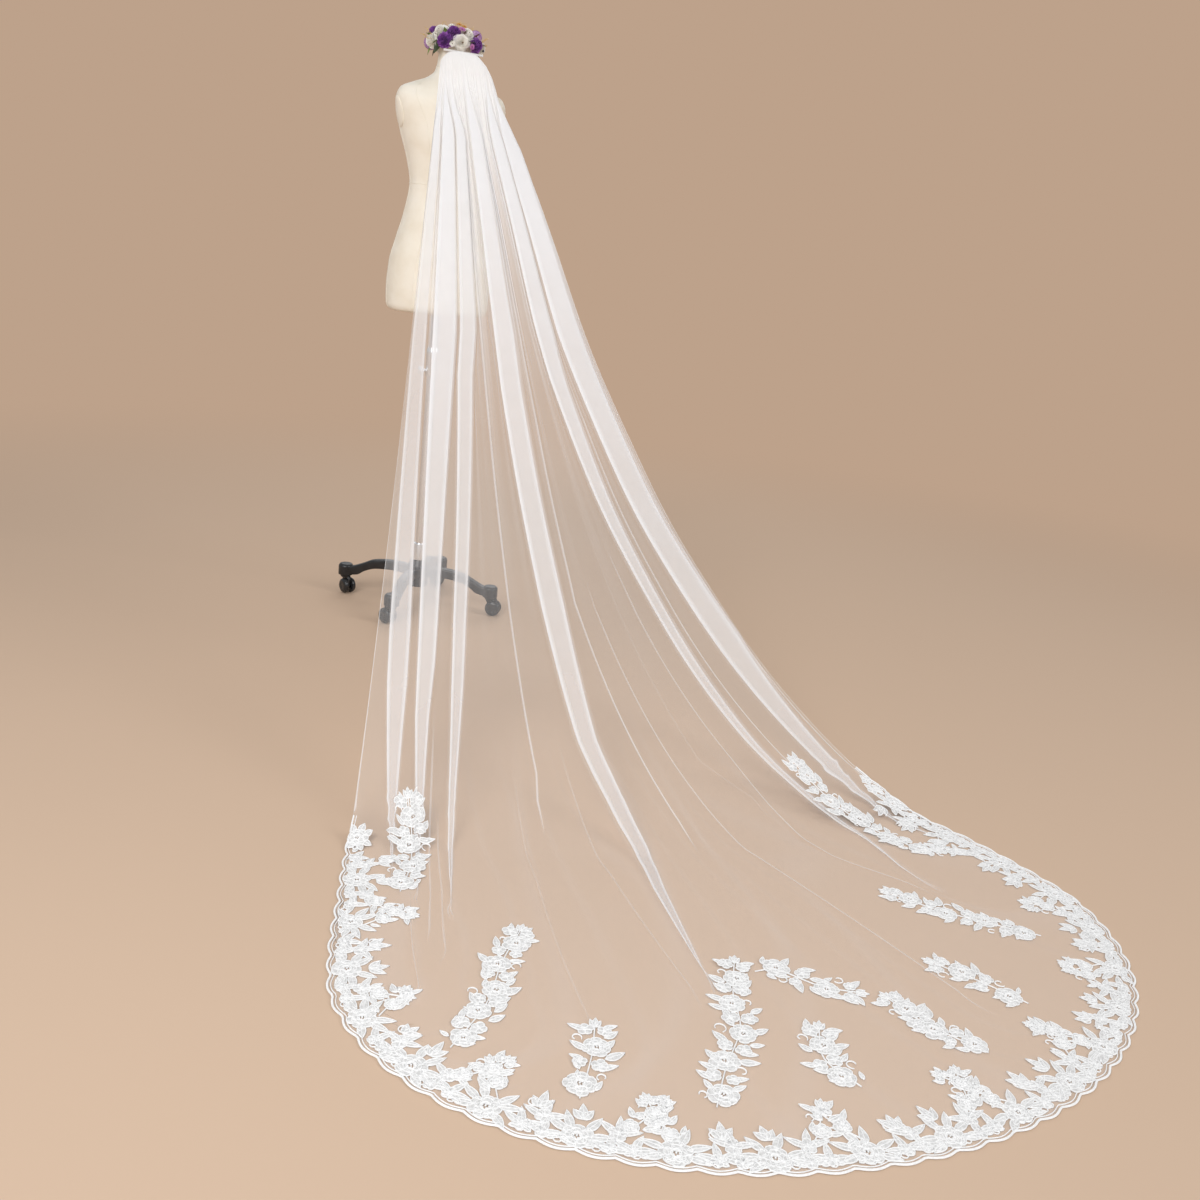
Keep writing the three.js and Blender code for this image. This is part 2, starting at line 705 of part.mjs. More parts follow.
function borderOutlines() {
  const outlines = [];
  const outer = [];
  const inner = [];
  const cordSteps = LACE_REPEATS * 2;
  for (let i = 0; i <= cordSteps; i += 1) {
    const share = lerp(BORDER_FIRST, BORDER_LAST, i / cordSteps);
    const edge = hemPoint(share, -2 * SCALLOP_DEPTH);
    const inside = hemPoint(share, HEM_CORD_WIDTH);
    outer.push([edge.x, edge.y]);
    inner.push([inside.x, inside.y]);
  }
  outlines.push([...outer, ...inner.reverse()]);
  for (let k = 0; k < LACE_REPEATS - 1; k += 1) {
    const share = lerp(BORDER_FIRST, BORDER_LAST, (k + 0.5) / (LACE_REPEATS - 1));
    const tangent = hem.getTangentAt(share);
    const inwardTurn = Math.atan2(tangent.x, -tangent.y);
    const sway = k % 2 === 0 ? 1 : -1;
    const rose = hemPoint(share, BORDER.roseInward);
    const bud = hemPoint(share + sway * BORDER.budShare, BORDER.budInward);
    const tip = hemPoint(share - sway * BORDER.tipShare, BORDER.tipInward);
    const mid = hemPoint(share - sway * BORDER.tipShare * 0.5, BORDER.bendInward);
    const roseOutline = blossomOutline(BORDER.roseRadius, BORDER.rosePetals);
    const budOutline = blossomOutline(BORDER.budRadius, BORDER.budPetals);
    outlines.push(placed(roseOutline, rose.x, rose.y, inwardTurn));
    outlines.push(placed(budOutline, bud.x, bud.y, inwardTurn));
    outlines.push(ribbonOutline([[rose.x, rose.y], [tip.x, tip.y]], BORDER.stem));
    const leaf = leafOutline(BORDER.leafLength, BORDER.leafWidth);
    for (const turn of BORDER.leafTurns) {
      outlines.push(placed(leaf, mid.x, mid.y, inwardTurn + sway * turn));
    }
    const tipTurn = inwardTurn + sway * BORDER.tipLeafTurn;
    outlines.push(placed(leaf, tip.x, tip.y, tipTurn, BORDER.tipLeafSize));
  }
  return outlines;
}

function sprigOutlines(sprig) {
  const stem = sprig.across.map((x, i) => new THREE.Vector2(x, -sprig.back[i]));
  const path = new THREE.SplineCurve(stem);
  const length = path.getLength();
  const stemPoints = path.getSpacedPoints(stem.length + 1).map((point) => [point.x, point.y]);
  const outlines = [ribbonOutline(stemPoints, SPRIG.stem)];
  const flowers = Math.max(2, Math.round(length / SPRIG.flowerSpacing));
  for (let i = 0; i < flowers; i += 1) {
    const t = (i + SPRIG.flowerStart) / flowers;
    const point = path.getPointAt(t);
    const tangent = path.getTangentAt(t);
    const side = i % 2 === 0 ? 1 : -1;
    const size = 0.5 + 0.5 * Math.cos(i * SPRIG.sizeTurn);
    const radius = lerp(SPRIG.smallFlower, SPRIG.largeFlower, size);
    const x = point.x - tangent.y * side * SPRIG.flowerOffset;
    const y = point.y + tangent.x * side * SPRIG.flowerOffset;
    outlines.push(placed(blossomOutline(radius, SPRIG.petals), x, y, t * SPRIG.flowerTurn));
  }
  const leaves = Math.round(length / SPRIG.leafSpacing);
  for (let i = 0; i < leaves; i += 1) {
    const t = (i + SPRIG.leafStart) / leaves;
    const point = path.getPointAt(t);
    const tangent = path.getTangentAt(t);
    const along = Math.atan2(-tangent.y, -tangent.x);
    const side = i % 2 === 0 ? 1 : -1;
    const leaf = leafOutline(SPRIG.leafLength, SPRIG.leafWidth);
    outlines.push(placed(leaf, point.x, point.y, along + side * SPRIG.leafTurn));
    if (i === 0) outlines.push(placed(leaf, point.x, point.y, along, SPRIG.footLeafSize));
  }
  return outlines;
}

addPiece("lace_border", laceSolid(borderOutlines()), LOOK.lace);
SPRIGS.forEach((sprig) => {
  addPiece(`lace_sprig_${sprig.name}`, laceSolid(sprigOutlines(sprig)), LOOK.lace);
});

// Form
function formRing(ring) {
  const points = [];
  for (let i = 0; i < FORM_SIDES; i += 1) {
    const turn = (2 * Math.PI * i) / FORM_SIDES;
    const c = Math.cos(turn);
    const s = Math.sin(turn);
    const power = 2 / FORM_SQUARENESS;
    const x = Math.sign(c) * Math.abs(c) ** power * ring.halfWidth;
    const y = Math.sign(s) * Math.abs(s) ** power * ring.halfDepth + ring.forward;
    points.push([x, y, ring.z]);
  }
  return points;
}

function formGeometry() {
  const points = FORM_RINGS.flatMap(formRing);
  const faces = [];
  for (let r = 0; r + 1 < FORM_RINGS.length; r += 1) {
    for (let i = 0; i < FORM_SIDES; i += 1) {
      const a = r * FORM_SIDES + i;
      const b = r * FORM_SIDES + ((i + 1) % FORM_SIDES);
      faces.push([a, b, b + FORM_SIDES], [a, b + FORM_SIDES, a + FORM_SIDES]);
    }
  }
  const bottom = points.length;
  const lowest = FORM_RINGS[0];
  const highest = FORM_RINGS[FORM_RINGS.length - 1];
  points.push([0, lowest.forward, lowest.z], [0, highest.forward, highest.z]);
  const top = bottom + 1;
  const lastRing = (FORM_RINGS.length - 1) * FORM_SIDES;
  for (let i = 0; i < FORM_SIDES; i += 1) {
    const next = (i + 1) % FORM_SIDES;
    faces.push([bottom, next, i], [top, lastRing + i, lastRing + next]);
  }
  return indexed(points, faces);
}

function turned(profile, sides) {
  const points = profile.map(([radius, z]) => new THREE.Vector2(radius, z));
  const geometry = new THREE.LatheGeometry(points, sides);
  geometry.rotateX(Math.PI / 2);
  return geometry;
}

const FORM_FLOOR = FORM_RINGS[0].z;
const poleTop = FORM_FLOOR + POLE_IN_FORM;
const poleHole = turned([
  [0, FORM_FLOOR - CUT_OVERRUN], [POLE_RADIUS + SEAM_GAP, FORM_FLOOR - CUT_OVERRUN],
  [POLE_RADIUS + SEAM_GAP, poleTop + SEAM_GAP], [0, poleTop + SEAM_GAP],
], POLE_SIDES);
const formSolid = toSolid(formGeometry()).subtract(toSolid(poleHole));
addPiece("form_torso", fromSolid(formSolid), LOOK.linen);

const neckTop = FORM_RINGS[FORM_RINGS.length - 1];
const capBottom = neckTop.z + SEAM_GAP;
const capRadius = neckTop.halfDepth - NECK_CAP.inset;
const capTop = capBottom + NECK_CAP.thickness;
const cap = turned([
  [0, capBottom], [capRadius, capBottom], [capRadius, capBottom + NECK_CAP.edge],
  [capRadius - NECK_CAP.bevel, capTop], [0, capTop],
], NECK_CAP.sides);
addPiece("form_neck_cap", cap, LOOK.linen);

// Arm plates: ovals that close the form's sides, just outside it
function armPlate(side) {
  const outline = [];
  for (let i = 0; i < ARM_PLATE.sides; i += 1) {
    const turn = (2 * Math.PI * i) / ARM_PLATE.sides;
    outline.push(new THREE.Vector2(
      ARM_PLATE.halfDeep * Math.cos(turn) + ARM_PLATE.forward,
      ARM_PLATE.halfTall * Math.sin(turn) + ARM_PLATE.height,
    ));
  }
  const shape = new THREE.Shape(outline);
  const geometry = new THREE.ExtrudeGeometry(shape, {
    depth: ARM_PLATE.thickness, bevelEnabled: false,
  });
  geometry.applyMatrix4(new THREE.Matrix4().makeBasis(
    new THREE.Vector3(0, 1, 0), UP, new THREE.Vector3(1, 0, 0),
  ));
  const widest = Math.max(...FORM_RINGS.map((ring) => ring.halfWidth)) + SEAM_GAP;
  const x = side > 0 ? widest : -widest - ARM_PLATE.thickness;
  geometry.translate(x, 0, 0);
  return geometry;
}

addPiece("form_arm_plate_left", armPlate(-1), LOOK.linen);
addPiece("form_arm_plate_right", armPlate(1), LOOK.linen);

// Pole, collar and knob
const poleBottom = HUB_TOP - POLE_IN_HUB;
const pole = turned([
  [0, poleBottom], [POLE_RADIUS, poleBottom], [POLE_RADIUS, poleTop], [0, poleTop],
], POLE_SIDES);
addPiece("stand_pole", pole, LOOK.black);
const poleBore = POLE_RADIUS + SEAM_GAP;
const clampRing = turned([
  [poleBore, COLLAR_BOTTOM], [COLLAR_RADIUS, COLLAR_BOTTOM],
  [COLLAR_RADIUS, COLLAR_TOP - COLLAR_TAPER], [COLLAR_RADIUS - COLLAR_LIP, COLLAR_TOP],
  [poleBore, COLLAR_TOP], [poleBore, COLLAR_BOTTOM],
], POLE_SIDES);
const knob = turned([
  [0, KNOB.root], [KNOB.shaft, KNOB.root], [KNOB.shaft, KNOB.neck],
  [KNOB.head, KNOB.shoulder], [KNOB.head, KNOB.face], [0, KNOB.tip],
], KNOB_SIDES);
knob.rotateY(-Math.PI / 2);
knob.translate(0, 0, KNOB_HEIGHT);
addPiece("stand_collar", joined([clampRing, knob]), LOOK.black);

// Hub with four arched legs, each ending in a boss for its caster
function legGeometry(turn) {
  const outline = [...LEG_TOP, ...LEG_UNDER].map((row) => new THREE.Vector2(row.out, row.z));
  const shape = new THREE.Shape(outline);
  const geometry = new THREE.ExtrudeGeometry(shape, { depth: LEG_WIDTH, bevelEnabled: false });
  geometry.translate(0, 0, -LEG_WIDTH / 2);
  geometry.rotateX(Math.PI / 2);
  geometry.rotateZ(turn);
  return geometry;
}

function standBase() {
  const hub = turned([
    [0, HUB_BOTTOM], [HUB_RADIUS, HUB_BOTTOM], [HUB_RADIUS, HUB_SHOULDER],
    [POLE_RADIUS + HUB_NECK_WALL, HUB_SHOULDER + HUB_NECK],
    [POLE_RADIUS + HUB_LIP_WALL, HUB_TOP], [0, HUB_TOP],
  ], HUB_SIDES);
  let solid = toSolid(hub);
  for (let k = 0; k < 4; k += 1) {
    const turn = radians(STAR_TURN_DEG + 90 * k);
    const boss = turned([
      [0, BOSS_BOTTOM], [BOSS_RADIUS, BOSS_BOTTOM], [BOSS_RADIUS, BOSS_TOP - BOSS_EDGE],
      [BOSS_RADIUS - BOSS_EDGE, BOSS_TOP], [0, BOSS_TOP],
    ], BOSS_SIDES);
    boss.translate(STAR_RADIUS * Math.cos(turn), STAR_RADIUS * Math.sin(turn), 0);
    solid = solid.add(toSolid(legGeometry(turn))).add(toSolid(boss));
  }
  for (let k = 0; k < 4; k += 1) {
    const turn = radians(STAR_TURN_DEG + 90 * k);
    const socket = turned([
      [0, BOSS_BOTTOM - CUT_OVERRUN], [STEM_RADIUS + SEAM_GAP, BOSS_BOTTOM - CUT_OVERRUN],
      [STEM_RADIUS + SEAM_GAP, STEM_TOP + SEAM_GAP], [0, STEM_TOP + SEAM_GAP],
    ], STEM_SIDES);
    socket.translate(STAR_RADIUS * Math.cos(turn), STAR_RADIUS * Math.sin(turn), 0);
    solid = solid.subtract(toSolid(socket));
  }
  const poleSocket = turned([
    [0, poleBottom - SEAM_GAP], [POLE_RADIUS + SEAM_GAP, poleBottom - SEAM_GAP],
    [POLE_RADIUS + SEAM_GAP, HUB_TOP + CUT_OVERRUN], [0, HUB_TOP + CUT_OVERRUN],
  ], POLE_SIDES);
  return fromSolid(solid.subtract(toSolid(poleSocket)));
}

addPiece("stand_base", standBase(), LOOK.black);

// Twin-wheel casters: a housing that swivels in its boss and a pair of wheels on an axle.
// A flat of each wheel lies on the floor
function casterHousing() {
  const hole = new THREE.Path();
  hole.absarc(-CASTER_TRAIL, WHEEL_RADIUS, AXLE_RADIUS + SEAM_GAP, 0, 2 * Math.PI, true);
  const points = [];
  const steps = 6;
  for (let i = 0; i <= steps; i += 1) {
    const turn = Math.PI * (1 + i / steps) + radians(HOUSING.fullness);
    points.push(new THREE.Vector2(
      -CASTER_TRAIL + HOUSING.round * Math.cos(turn), WHEEL_RADIUS + HOUSING.round * Math.sin(turn),
    ));
  }
  const top = BOSS_BOTTOM - SEAM_GAP;
  const waist = WHEEL_RADIUS + HOUSING.waistHeight;
  points.push(new THREE.Vector2(HOUSING.front, waist));
  points.push(new THREE.Vector2(HOUSING.front, top));
  points.push(new THREE.Vector2(-CASTER_TRAIL - HOUSING.rear, top));
  points.push(new THREE.Vector2(-CASTER_TRAIL - HOUSING.waist, waist));
  const outline = new THREE.Shape(points);
  outline.holes.push(hole);
  const side = new THREE.ExtrudeGeometry(outline, {
    depth: 2 * HOUSING_HALF_WIDTH, bevelEnabled: false, curveSegments: 8,
  });
  side.translate(0, 0, -HOUSING_HALF_WIDTH);
  side.rotateX(Math.PI / 2);
  const stem = turned([
    [0, BOSS_BOTTOM - SWIVEL_DISC.thickness],
    [SWIVEL_DISC.radius, BOSS_BOTTOM - SWIVEL_DISC.thickness],
    [SWIVEL_DISC.radius, top], [STEM_RADIUS, top], [STEM_RADIUS, STEM_TOP], [0, STEM_TOP],
  ], STEM_SIDES);
  return joined([side, stem]);
}

function casterWheels() {
  const round = WHEEL_ROUNDING;
  const corner = WHEEL_RADIUS / Math.cos(Math.PI / WHEEL_SIDES);
  const half = [
    [AXLE_RADIUS, WHEEL_INNER],
    [corner - round.inner, WHEEL_INNER],
    [corner, WHEEL_OUTER - round.treadIn],
    [corner - round.shoulder, WHEEL_OUTER - round.shoulderIn],
    [corner - round.hub, WHEEL_OUTER],
    [0, WHEEL_OUTER],
  ];
  const mirrored = half.map(([radius, across]) => [radius, -across]).reverse();
  const geometry = turned([...mirrored, ...half], WHEEL_SIDES);
  geometry.rotateX(Math.PI / 2);
  geometry.rotateY(Math.PI / WHEEL_SIDES);
  geometry.translate(-CASTER_TRAIL, 0, WHEEL_RADIUS);
  return geometry;
}

for (let k = 0; k < 4; k += 1) {
  const starTurn = radians(STAR_TURN_DEG + 90 * k);
  const place = new THREE.Matrix4().makeTranslation(
    STAR_RADIUS * Math.cos(starTurn), STAR_RADIUS * Math.sin(starTurn), 0,
  ).multiply(new THREE.Matrix4().makeRotationZ(radians(CASTER_TURNS_DEG[k])));
  addPiece(`caster_${k + 1}_housing`, casterHousing().applyMatrix4(place), LOOK.black);
  addPiece(`caster_${k + 1}_wheels`, casterWheels().applyMatrix4(place), LOOK.wheel);
}

// Wreath: a twisted ring round the neck, leaves joined to it, blossoms seated on it
function wreathPlace(turn, tilt, reach) {
  const out = RING_RADIUS + reach * Math.cos(tilt);
  return new THREE.Vector3(
    out * Math.sin(turn), -out * Math.cos(turn), RING_HEIGHT + reach * Math.sin(tilt),
  );
}

function wreathLeaf(leaf) {
  const turn = radians(leaf.turn);
  const tilt = radians(leaf.tilt);
  const base = wreathPlace(turn, tilt, LEAF_START);
  const tip = wreathPlace(turn, tilt, leaf.length);
  const along = tip.clone().sub(base);
  const across = new THREE.Vector3(Math.cos(turn), Math.sin(turn), 0);
  const thick = across.clone().cross(along).normalize().multiplyScalar(LEAF_THICKNESS / 2);
  const middle = base.clone().addScaledVector(along, WREATH_LEAF_WIDEST);
  const rim = [
    base, middle.clone().addScaledVector(across, LEAF_WIDTH / 2),
    tip, middle.clone().addScaledVector(across, -LEAF_WIDTH / 2),
  ];
  const points = [];
  for (const side of [-1, 1]) {
    for (const point of rim) points.push(point.clone().addScaledVector(thick, side).toArray());
  }
  const faces = [[0, 2, 1], [0, 3, 2], [4, 5, 6], [4, 6, 7]];
  for (let i = 0; i < 4; i += 1) {
    const next = (i + 1) % 4;
    faces.push([i, next, next + 4], [i, next + 4, i + 4]);
  }
  return indexed(points, faces);
}

const ring = new THREE.TorusGeometry(RING_RADIUS, RING_TUBE, RING_TUBE_SIDES, RING_SIDES);
ring.translate(0, 0, RING_HEIGHT);
addPiece("wreath_vine", joined([ring, ...WREATH_LEAVES.map(wreathLeaf)]), LOOK.vine);

// A round head, drawn in between its petals
function blossom() {
  const geometry = new THREE.SphereGeometry(FLOWER_RADIUS, FLOWER_PETALS * 2, FLOWER_LEVELS);
  const place = geometry.attributes.position;
  for (let i = 0; i < place.count; i += 1) {
    const turn = Math.atan2(place.getZ(i), place.getX(i));
    const dent = 1 - PETAL_DENT * (0.5 - 0.5 * Math.cos(FLOWER_PETALS * turn));
    place.setX(i, place.getX(i) * dent);
    place.setZ(i, place.getZ(i) * dent);
  }
  return geometry;
}

FLOWER_TIERS.forEach((tier) => {
  for (let i = 0; i < tier.count; i += 1) {
    const turn = radians((360 / tier.count) * i + tier.offset);
    const tilt = radians(tier.tilt);
    const centre = wreathPlace(turn, tilt, RING_TUBE + tier.seat + FLOWER_RADIUS);
    const facing = centre.clone().sub(wreathPlace(turn, tilt, 0)).normalize();
    const kind = FLOWER_KINDS[(i + tier.first) % FLOWER_KINDS.length];
    const geometry = blossom();
    geometry.applyQuaternion(new THREE.Quaternion().setFromUnitVectors(
      new THREE.Vector3(0, 1, 0), facing,
    ));
    geometry.translate(centre.x, centre.y, centre.z);
    addPiece(`wreath_${kind}_${tier.name}_${i + 1}`, geometry, LOOK[kind]);
  }
});

// Comb under the wreath, and the stitched band that holds the gathers
function combGeometry() {
  const bar = new THREE.BoxGeometry(COMB.width, COMB.bar, COMB.bar);
  bar.translate(0, -COMB.back, COMB.height);
  const pieces = [bar];
  for (let i = 0; i < COMB.teeth; i += 1) {
    const tooth = new THREE.BoxGeometry(COMB.toothWidth, COMB.toothLength, COMB.toothWidth);
    const x = (COMB.width - 2 * COMB.margin) * (i / (COMB.teeth - 1) - 0.5);
    tooth.translate(x, -COMB.back + COMB.toothLength / 2, COMB.height);
    pieces.push(tooth);
  }
  return joined(pieces);
}

addPiece("veil_comb", combGeometry(), LOOK.steel);
const band = new THREE.BoxGeometry(BAND.width, BAND.thick, BAND.tall);
band.translate(0, -BAND.back, BAND.height);
addPiece("veil_gather_band", band, LOOK.tulle);

// The reference point: the middle of the footprint, on the floor
const extent = new THREE.Box3().setFromObject(group);
group.position.set(-(extent.min.x + extent.max.x) / 2, -(extent.min.y + extent.max.y) / 2, 0);

export default group;
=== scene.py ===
import math
import random

import bpy
import numpy as np
from mathutils import Matrix, Vector
from mathutils.bvhtree import BVHTree


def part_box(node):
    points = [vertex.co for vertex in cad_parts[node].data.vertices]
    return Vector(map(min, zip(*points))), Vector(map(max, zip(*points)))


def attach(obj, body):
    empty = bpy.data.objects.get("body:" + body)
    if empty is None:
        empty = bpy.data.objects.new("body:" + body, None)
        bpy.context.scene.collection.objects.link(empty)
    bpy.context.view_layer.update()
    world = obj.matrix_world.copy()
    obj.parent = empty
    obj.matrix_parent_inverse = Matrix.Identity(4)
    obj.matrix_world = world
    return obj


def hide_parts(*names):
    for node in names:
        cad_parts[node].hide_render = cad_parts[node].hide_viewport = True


# A cathedral bridal veil hanging from a flower wreath on a dress form, its lace train on
# the floor. Shapes are worked out in metres about the stand's pole on the floor: x across,
# y away from the train, z up. The pole's place in the frame moves them where they belong.
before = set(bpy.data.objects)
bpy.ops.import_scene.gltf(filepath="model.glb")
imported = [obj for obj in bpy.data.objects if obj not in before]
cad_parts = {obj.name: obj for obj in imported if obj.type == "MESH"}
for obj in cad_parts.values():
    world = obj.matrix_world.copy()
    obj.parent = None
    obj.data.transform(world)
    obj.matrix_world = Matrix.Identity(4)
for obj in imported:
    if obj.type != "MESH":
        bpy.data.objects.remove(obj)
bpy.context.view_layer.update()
POLE_LOW, POLE_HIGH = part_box("stand_pole")
STAND = np.array([(POLE_LOW[0] + POLE_HIGH[0]) / 2, (POLE_LOW[1] + POLE_HIGH[1]) / 2, 0.0])
ROOT = "stand_and_veil"
TAU = 2 * math.pi
# Turned shapes start and end this close to their axis
CORE = 0.0005

# Camera, about the stand
CAMERA_PLACE = (-1.0203, -3.7776, 1.2338)
CAMERA_TURN = math.radians(24.0)
CAMERA_DIP = math.radians(16.605)
CAMERA_ROLL = math.radians(6.566)
CAMERA_LENS = 36.79
CAMERA_SENSOR = 36.0

# Veil: spread, fall and hem
VEIL_START_BACK = 0.085
VEIL_TOP_BACK = 0.099
VEIL_TOP_HEIGHT = 1.690
VEIL_TOP_HALF_WIDTH = 0.060
VEIL_SPREAD = 0.39
TRAIN_HALF_WIDTH = 0.800
TRAIN_WIDTH_SOFTENING = 0.050
TRAIN_DRIFT = 0.115
TRAIN_DRIFT_BACK = 1.630
TRAIN_DRIFT_LIMIT = 1.1
TRAIN_START = 1.470
TOUCHDOWN_LEFT = 1.600
TOUCHDOWN_MIDDLE = 1.780
TOUCHDOWN_RIGHT = 1.700
CLOTH_LIFT = 0.0006
LOWEST_CLOTH = 0.0004
FALL_ALONG = (0.0, 0.06, 0.12, 0.2, 0.3, 0.4, 0.5, 0.6, 0.7, 0.8, 0.88, 0.95, 1.0)
FALL_TAUT = (1, 0.925, 0.84, 0.742, 0.618, 0.497, 0.385, 0.283, 0.19, 0.108, 0.055, 0.016, 0)
FALL_SLACK = (1, 0.92, 0.832, 0.711, 0.554, 0.425, 0.309, 0.217, 0.136, 0.073, 0.034, 0.01, 0)
HEM_START_BACK = 1.500
HEM_STRAIGHT_END = 2.050
HEM_DEPTH = 0.590
LACE_REPEATS = 19
SCALLOPS_PER_REPEAT = 3
SCALLOP_DEPTH = 0.007
SCALLOP_FADE = 0.03

# Folds lie flat in three layers. Places across run from -1 at the left edge to 1 at the
# right one, at three distances back and at the fold's end
FOLD_STATIONS = (0.59, 1.16, 1.50)
FOLDS = (
    {"at": (-0.925, -0.89, -0.87, -0.86), "overlap": (0.030, 0.045, 0.034), "end": 1.66, "taper": 0.4},
    {"at": (-0.71, -0.766, -0.775, -0.79), "overlap": (0.058, 0.040, 0.026), "end": 1.74, "taper": 0.5},
    {"at": (-0.47, -0.598, -0.66, -0.703), "overlap": (0.038, 0.027, 0.018), "end": 1.80, "taper": 0.5},
    {"at": (-0.1, -0.121, -0.125, -0.168), "overlap": (0.050, 0.054, 0.040), "end": 2.13, "taper": 0.6,
     "path": ((0.59, -0.1), (1.16, -0.121), (1.45, -0.132), (1.60, -0.106), (1.72, -0.096),
              (1.86, -0.128), (2.13, -0.168))},
    {"at": (0.365, 0.52, 0.60, 0.64), "overlap": (0.055, 0.036, 0.030), "end": 1.92, "taper": 0.6,
     "path": ((0.59, 0.365), (1.16, 0.52), (1.45, 0.59), (1.60, 0.645), (1.72, 0.68), (1.88, 0.64))},
    {"at": (0.74, 0.86, 0.87, 0.85), "overlap": (0.088, 0.100, 0.080), "end": 1.90, "taper": 0.75,
     "path": ((0.59, 0.74), (1.16, 0.86), (1.50, 0.880), (1.66, 0.885), (1.78, 0.875), (1.90, 0.85))},
)
# Ridges are narrow creases: their place across, where they start and end, height and cover; the extra cover
# along a crease is partly crowded net and partly painted brightening of the net seen edge-on
RIDGES = (
    {"at": (-0.81, -0.81, -0.81, -0.812), "start": 1.74, "end": 2.05, "tall": 0.0030, "cover": 0.34},
    {"at": (-0.665, -0.705, -0.735, -0.765), "start": 1.30, "end": 1.88, "tall": 0.0030, "cover": 0.40},
    {"at": (-0.60, -0.66, -0.71, -0.735), "start": 1.50, "end": 1.95, "tall": 0.0030, "cover": 0.36},
    {"at": (-0.40, -0.42, -0.435, -0.485), "start": 1.45, "end": 2.20, "tall": 0.0045, "cover": 0.26},
    {"at": (-0.31, -0.342, -0.352, -0.37), "start": 0.25, "end": 1.56, "tall": 0.0060, "cover": 0.62},
    {"at": (-0.20, -0.235, -0.243, -0.225), "start": 1.40, "end": 2.16, "tall": 0.0045, "cover": 0.28},
    {"at": (0.09, 0.0, 0.055, 0.08), "start": 0.25, "end": 1.66, "tall": 0.0060, "cover": 0.58},
    {"at": (0.15, 0.11, 0.18, 0.38), "start": 1.05, "end": 2.30, "tall": 0.0050, "cover": 0.42},
    {"at": (0.22, 0.25, 0.30, 0.42), "start": 0.80, "end": 1.60, "tall": 0.0030, "cover": 0.22},
    {"at": (0.27, 0.355, 0.45, 0.50), "start": 0.95, "end": 1.98, "tall": 0.0050, "cover": 0.40},
    {"at": (0.52, 0.62, 0.70, 0.72), "start": 0.60, "end": 1.50, "tall": 0.0035, "cover": 0.52},
    {"at": (0.955, 0.975, 0.98, 0.975), "start": 0.45, "end": 1.90, "tall": 0.0040, "cover": 0.50},
)
LAYER_GAP = 0.0045
FOLD_OPENING = (0.10, 0.27)
FOLD_TAIL = 0.45
FEATURE_SPACE = 0.004
FLAT_SPAN = {"fold": 0.006, "ridge": 0.0015}
FULL_FOLD_HALF_WIDTH = 0.27
RIDGE_HALF_WIDTH = 0.0035
TRAIN_RIDGE_HEIGHT = 0.3
COLUMN_SPACING = 0.0044
SELVAGE_SHARES = (0.0, 0.0022, 0.0044)
HANGING_ROWS = 84
TRAIN_ROWS = 68
HEM_SETTLES = 1.86
GATHERS = 19
GATHER_SLOPE = 0.16
GATHER_RISE = 0.12
GATHER_FADE = (0.30, 0.85)
# The veil swells over its comb and its shoulders drop to the sides
CREST_HEIGHT = 0.019
CREST_REACH = 0.070
SHOULDER_DROOP = 0.030
SHOULDER_REACH = 0.26

# How much of the view the net covers, by distance back
COVER_BACK = (0.10, 0.20, 0.30, 0.40, 0.50, 0.60, 0.75, 0.90, 1.10, 1.40, 1.80)
COVER_SINGLE = (0.97, 0.93, 0.84, 0.68, 0.50, 0.36, 0.24, 0.18, 0.15, 0.13, 0.125)
COVER_LAYER = (0.97, 0.90, 0.72, 0.56, 0.46, 0.40, 0.34, 0.30, 0.27, 0.25, 0.22)
# Cover on fold turns: partly crowded net, partly painted brightening of the net seen edge-on
COVER_CREASE_AND_PAINTED_SHEEN = 0.66
COVER_SELVAGE = 0.60
STREAK_COVER = 0.38
WRINKLE_COVER = 0.05
COVER_LIMITS = (0.02, 0.985)


def clamp01(value):
    return np.clip(value, 0.0, 1.0)


def smooth(value):
    t = clamp01(value)
    return t * t * (3 - 2 * t)


def lerp(a, b, t):
    return a + (b - a) * t


def superellipse(turn, wide, deep, power):
    """A point of a rounded box about 0, 0; at power 1 it is an ellipse."""
    c, s = math.cos(turn), math.sin(turn)
    return math.copysign(abs(c) ** power, c) * wide, math.copysign(abs(s) ** power, s) * deep


def run_lengths(points):
    """The length of a path up to each of its points."""
    return np.concatenate([[0], np.cumsum(np.linalg.norm(np.diff(points, axis=0), axis=1))])


def level_ring(sides, radius, z):
    """A level ring of points about 0, 0."""
    turns = [TAU * i / sides for i in range(sides)]
    return [(radius * math.cos(turn), radius * math.sin(turn), z) for turn in turns]


def hermite_table(xs, ys, x):
    """A smooth curve through a table's points."""
    xs = np.asarray(xs, float)
    ys = np.asarray(ys, float)
    slopes = np.gradient(ys, xs)
    slopes[-1] = 0.0
    x = np.clip(x, xs[0], xs[-1])
    i = np.clip(np.searchsorted(xs, x, side="right") - 1, 0, len(xs) - 2)
    step = xs[i + 1] - xs[i]
    t = (x - xs[i]) / step
    t2, t3 = t * t, t * t * t
    return (
        (2 * t3 - 3 * t2 + 1) * ys[i]
        + (t3 - 2 * t2 + t) * step * slopes[i]
        + (3 * t2 - 2 * t3) * ys[i + 1]
        + (t3 - t2) * step * slopes[i + 1]
    )


# Materials

FORM_MEAN_RADIUS = 0.13


def new_material(name):
    material = bpy.data.materials.new(name)
    material.use_nodes = True
    tree = material.node_tree
    return material, tree, tree.nodes["Principled BSDF"]


def add_node(tree, kind, **values):
    node = tree.nodes.new(kind)
    for key, value in values.items():
        if key in node.inputs:
            node.inputs[key].default_value = value
        else:
            setattr(node, key, value)
    return node


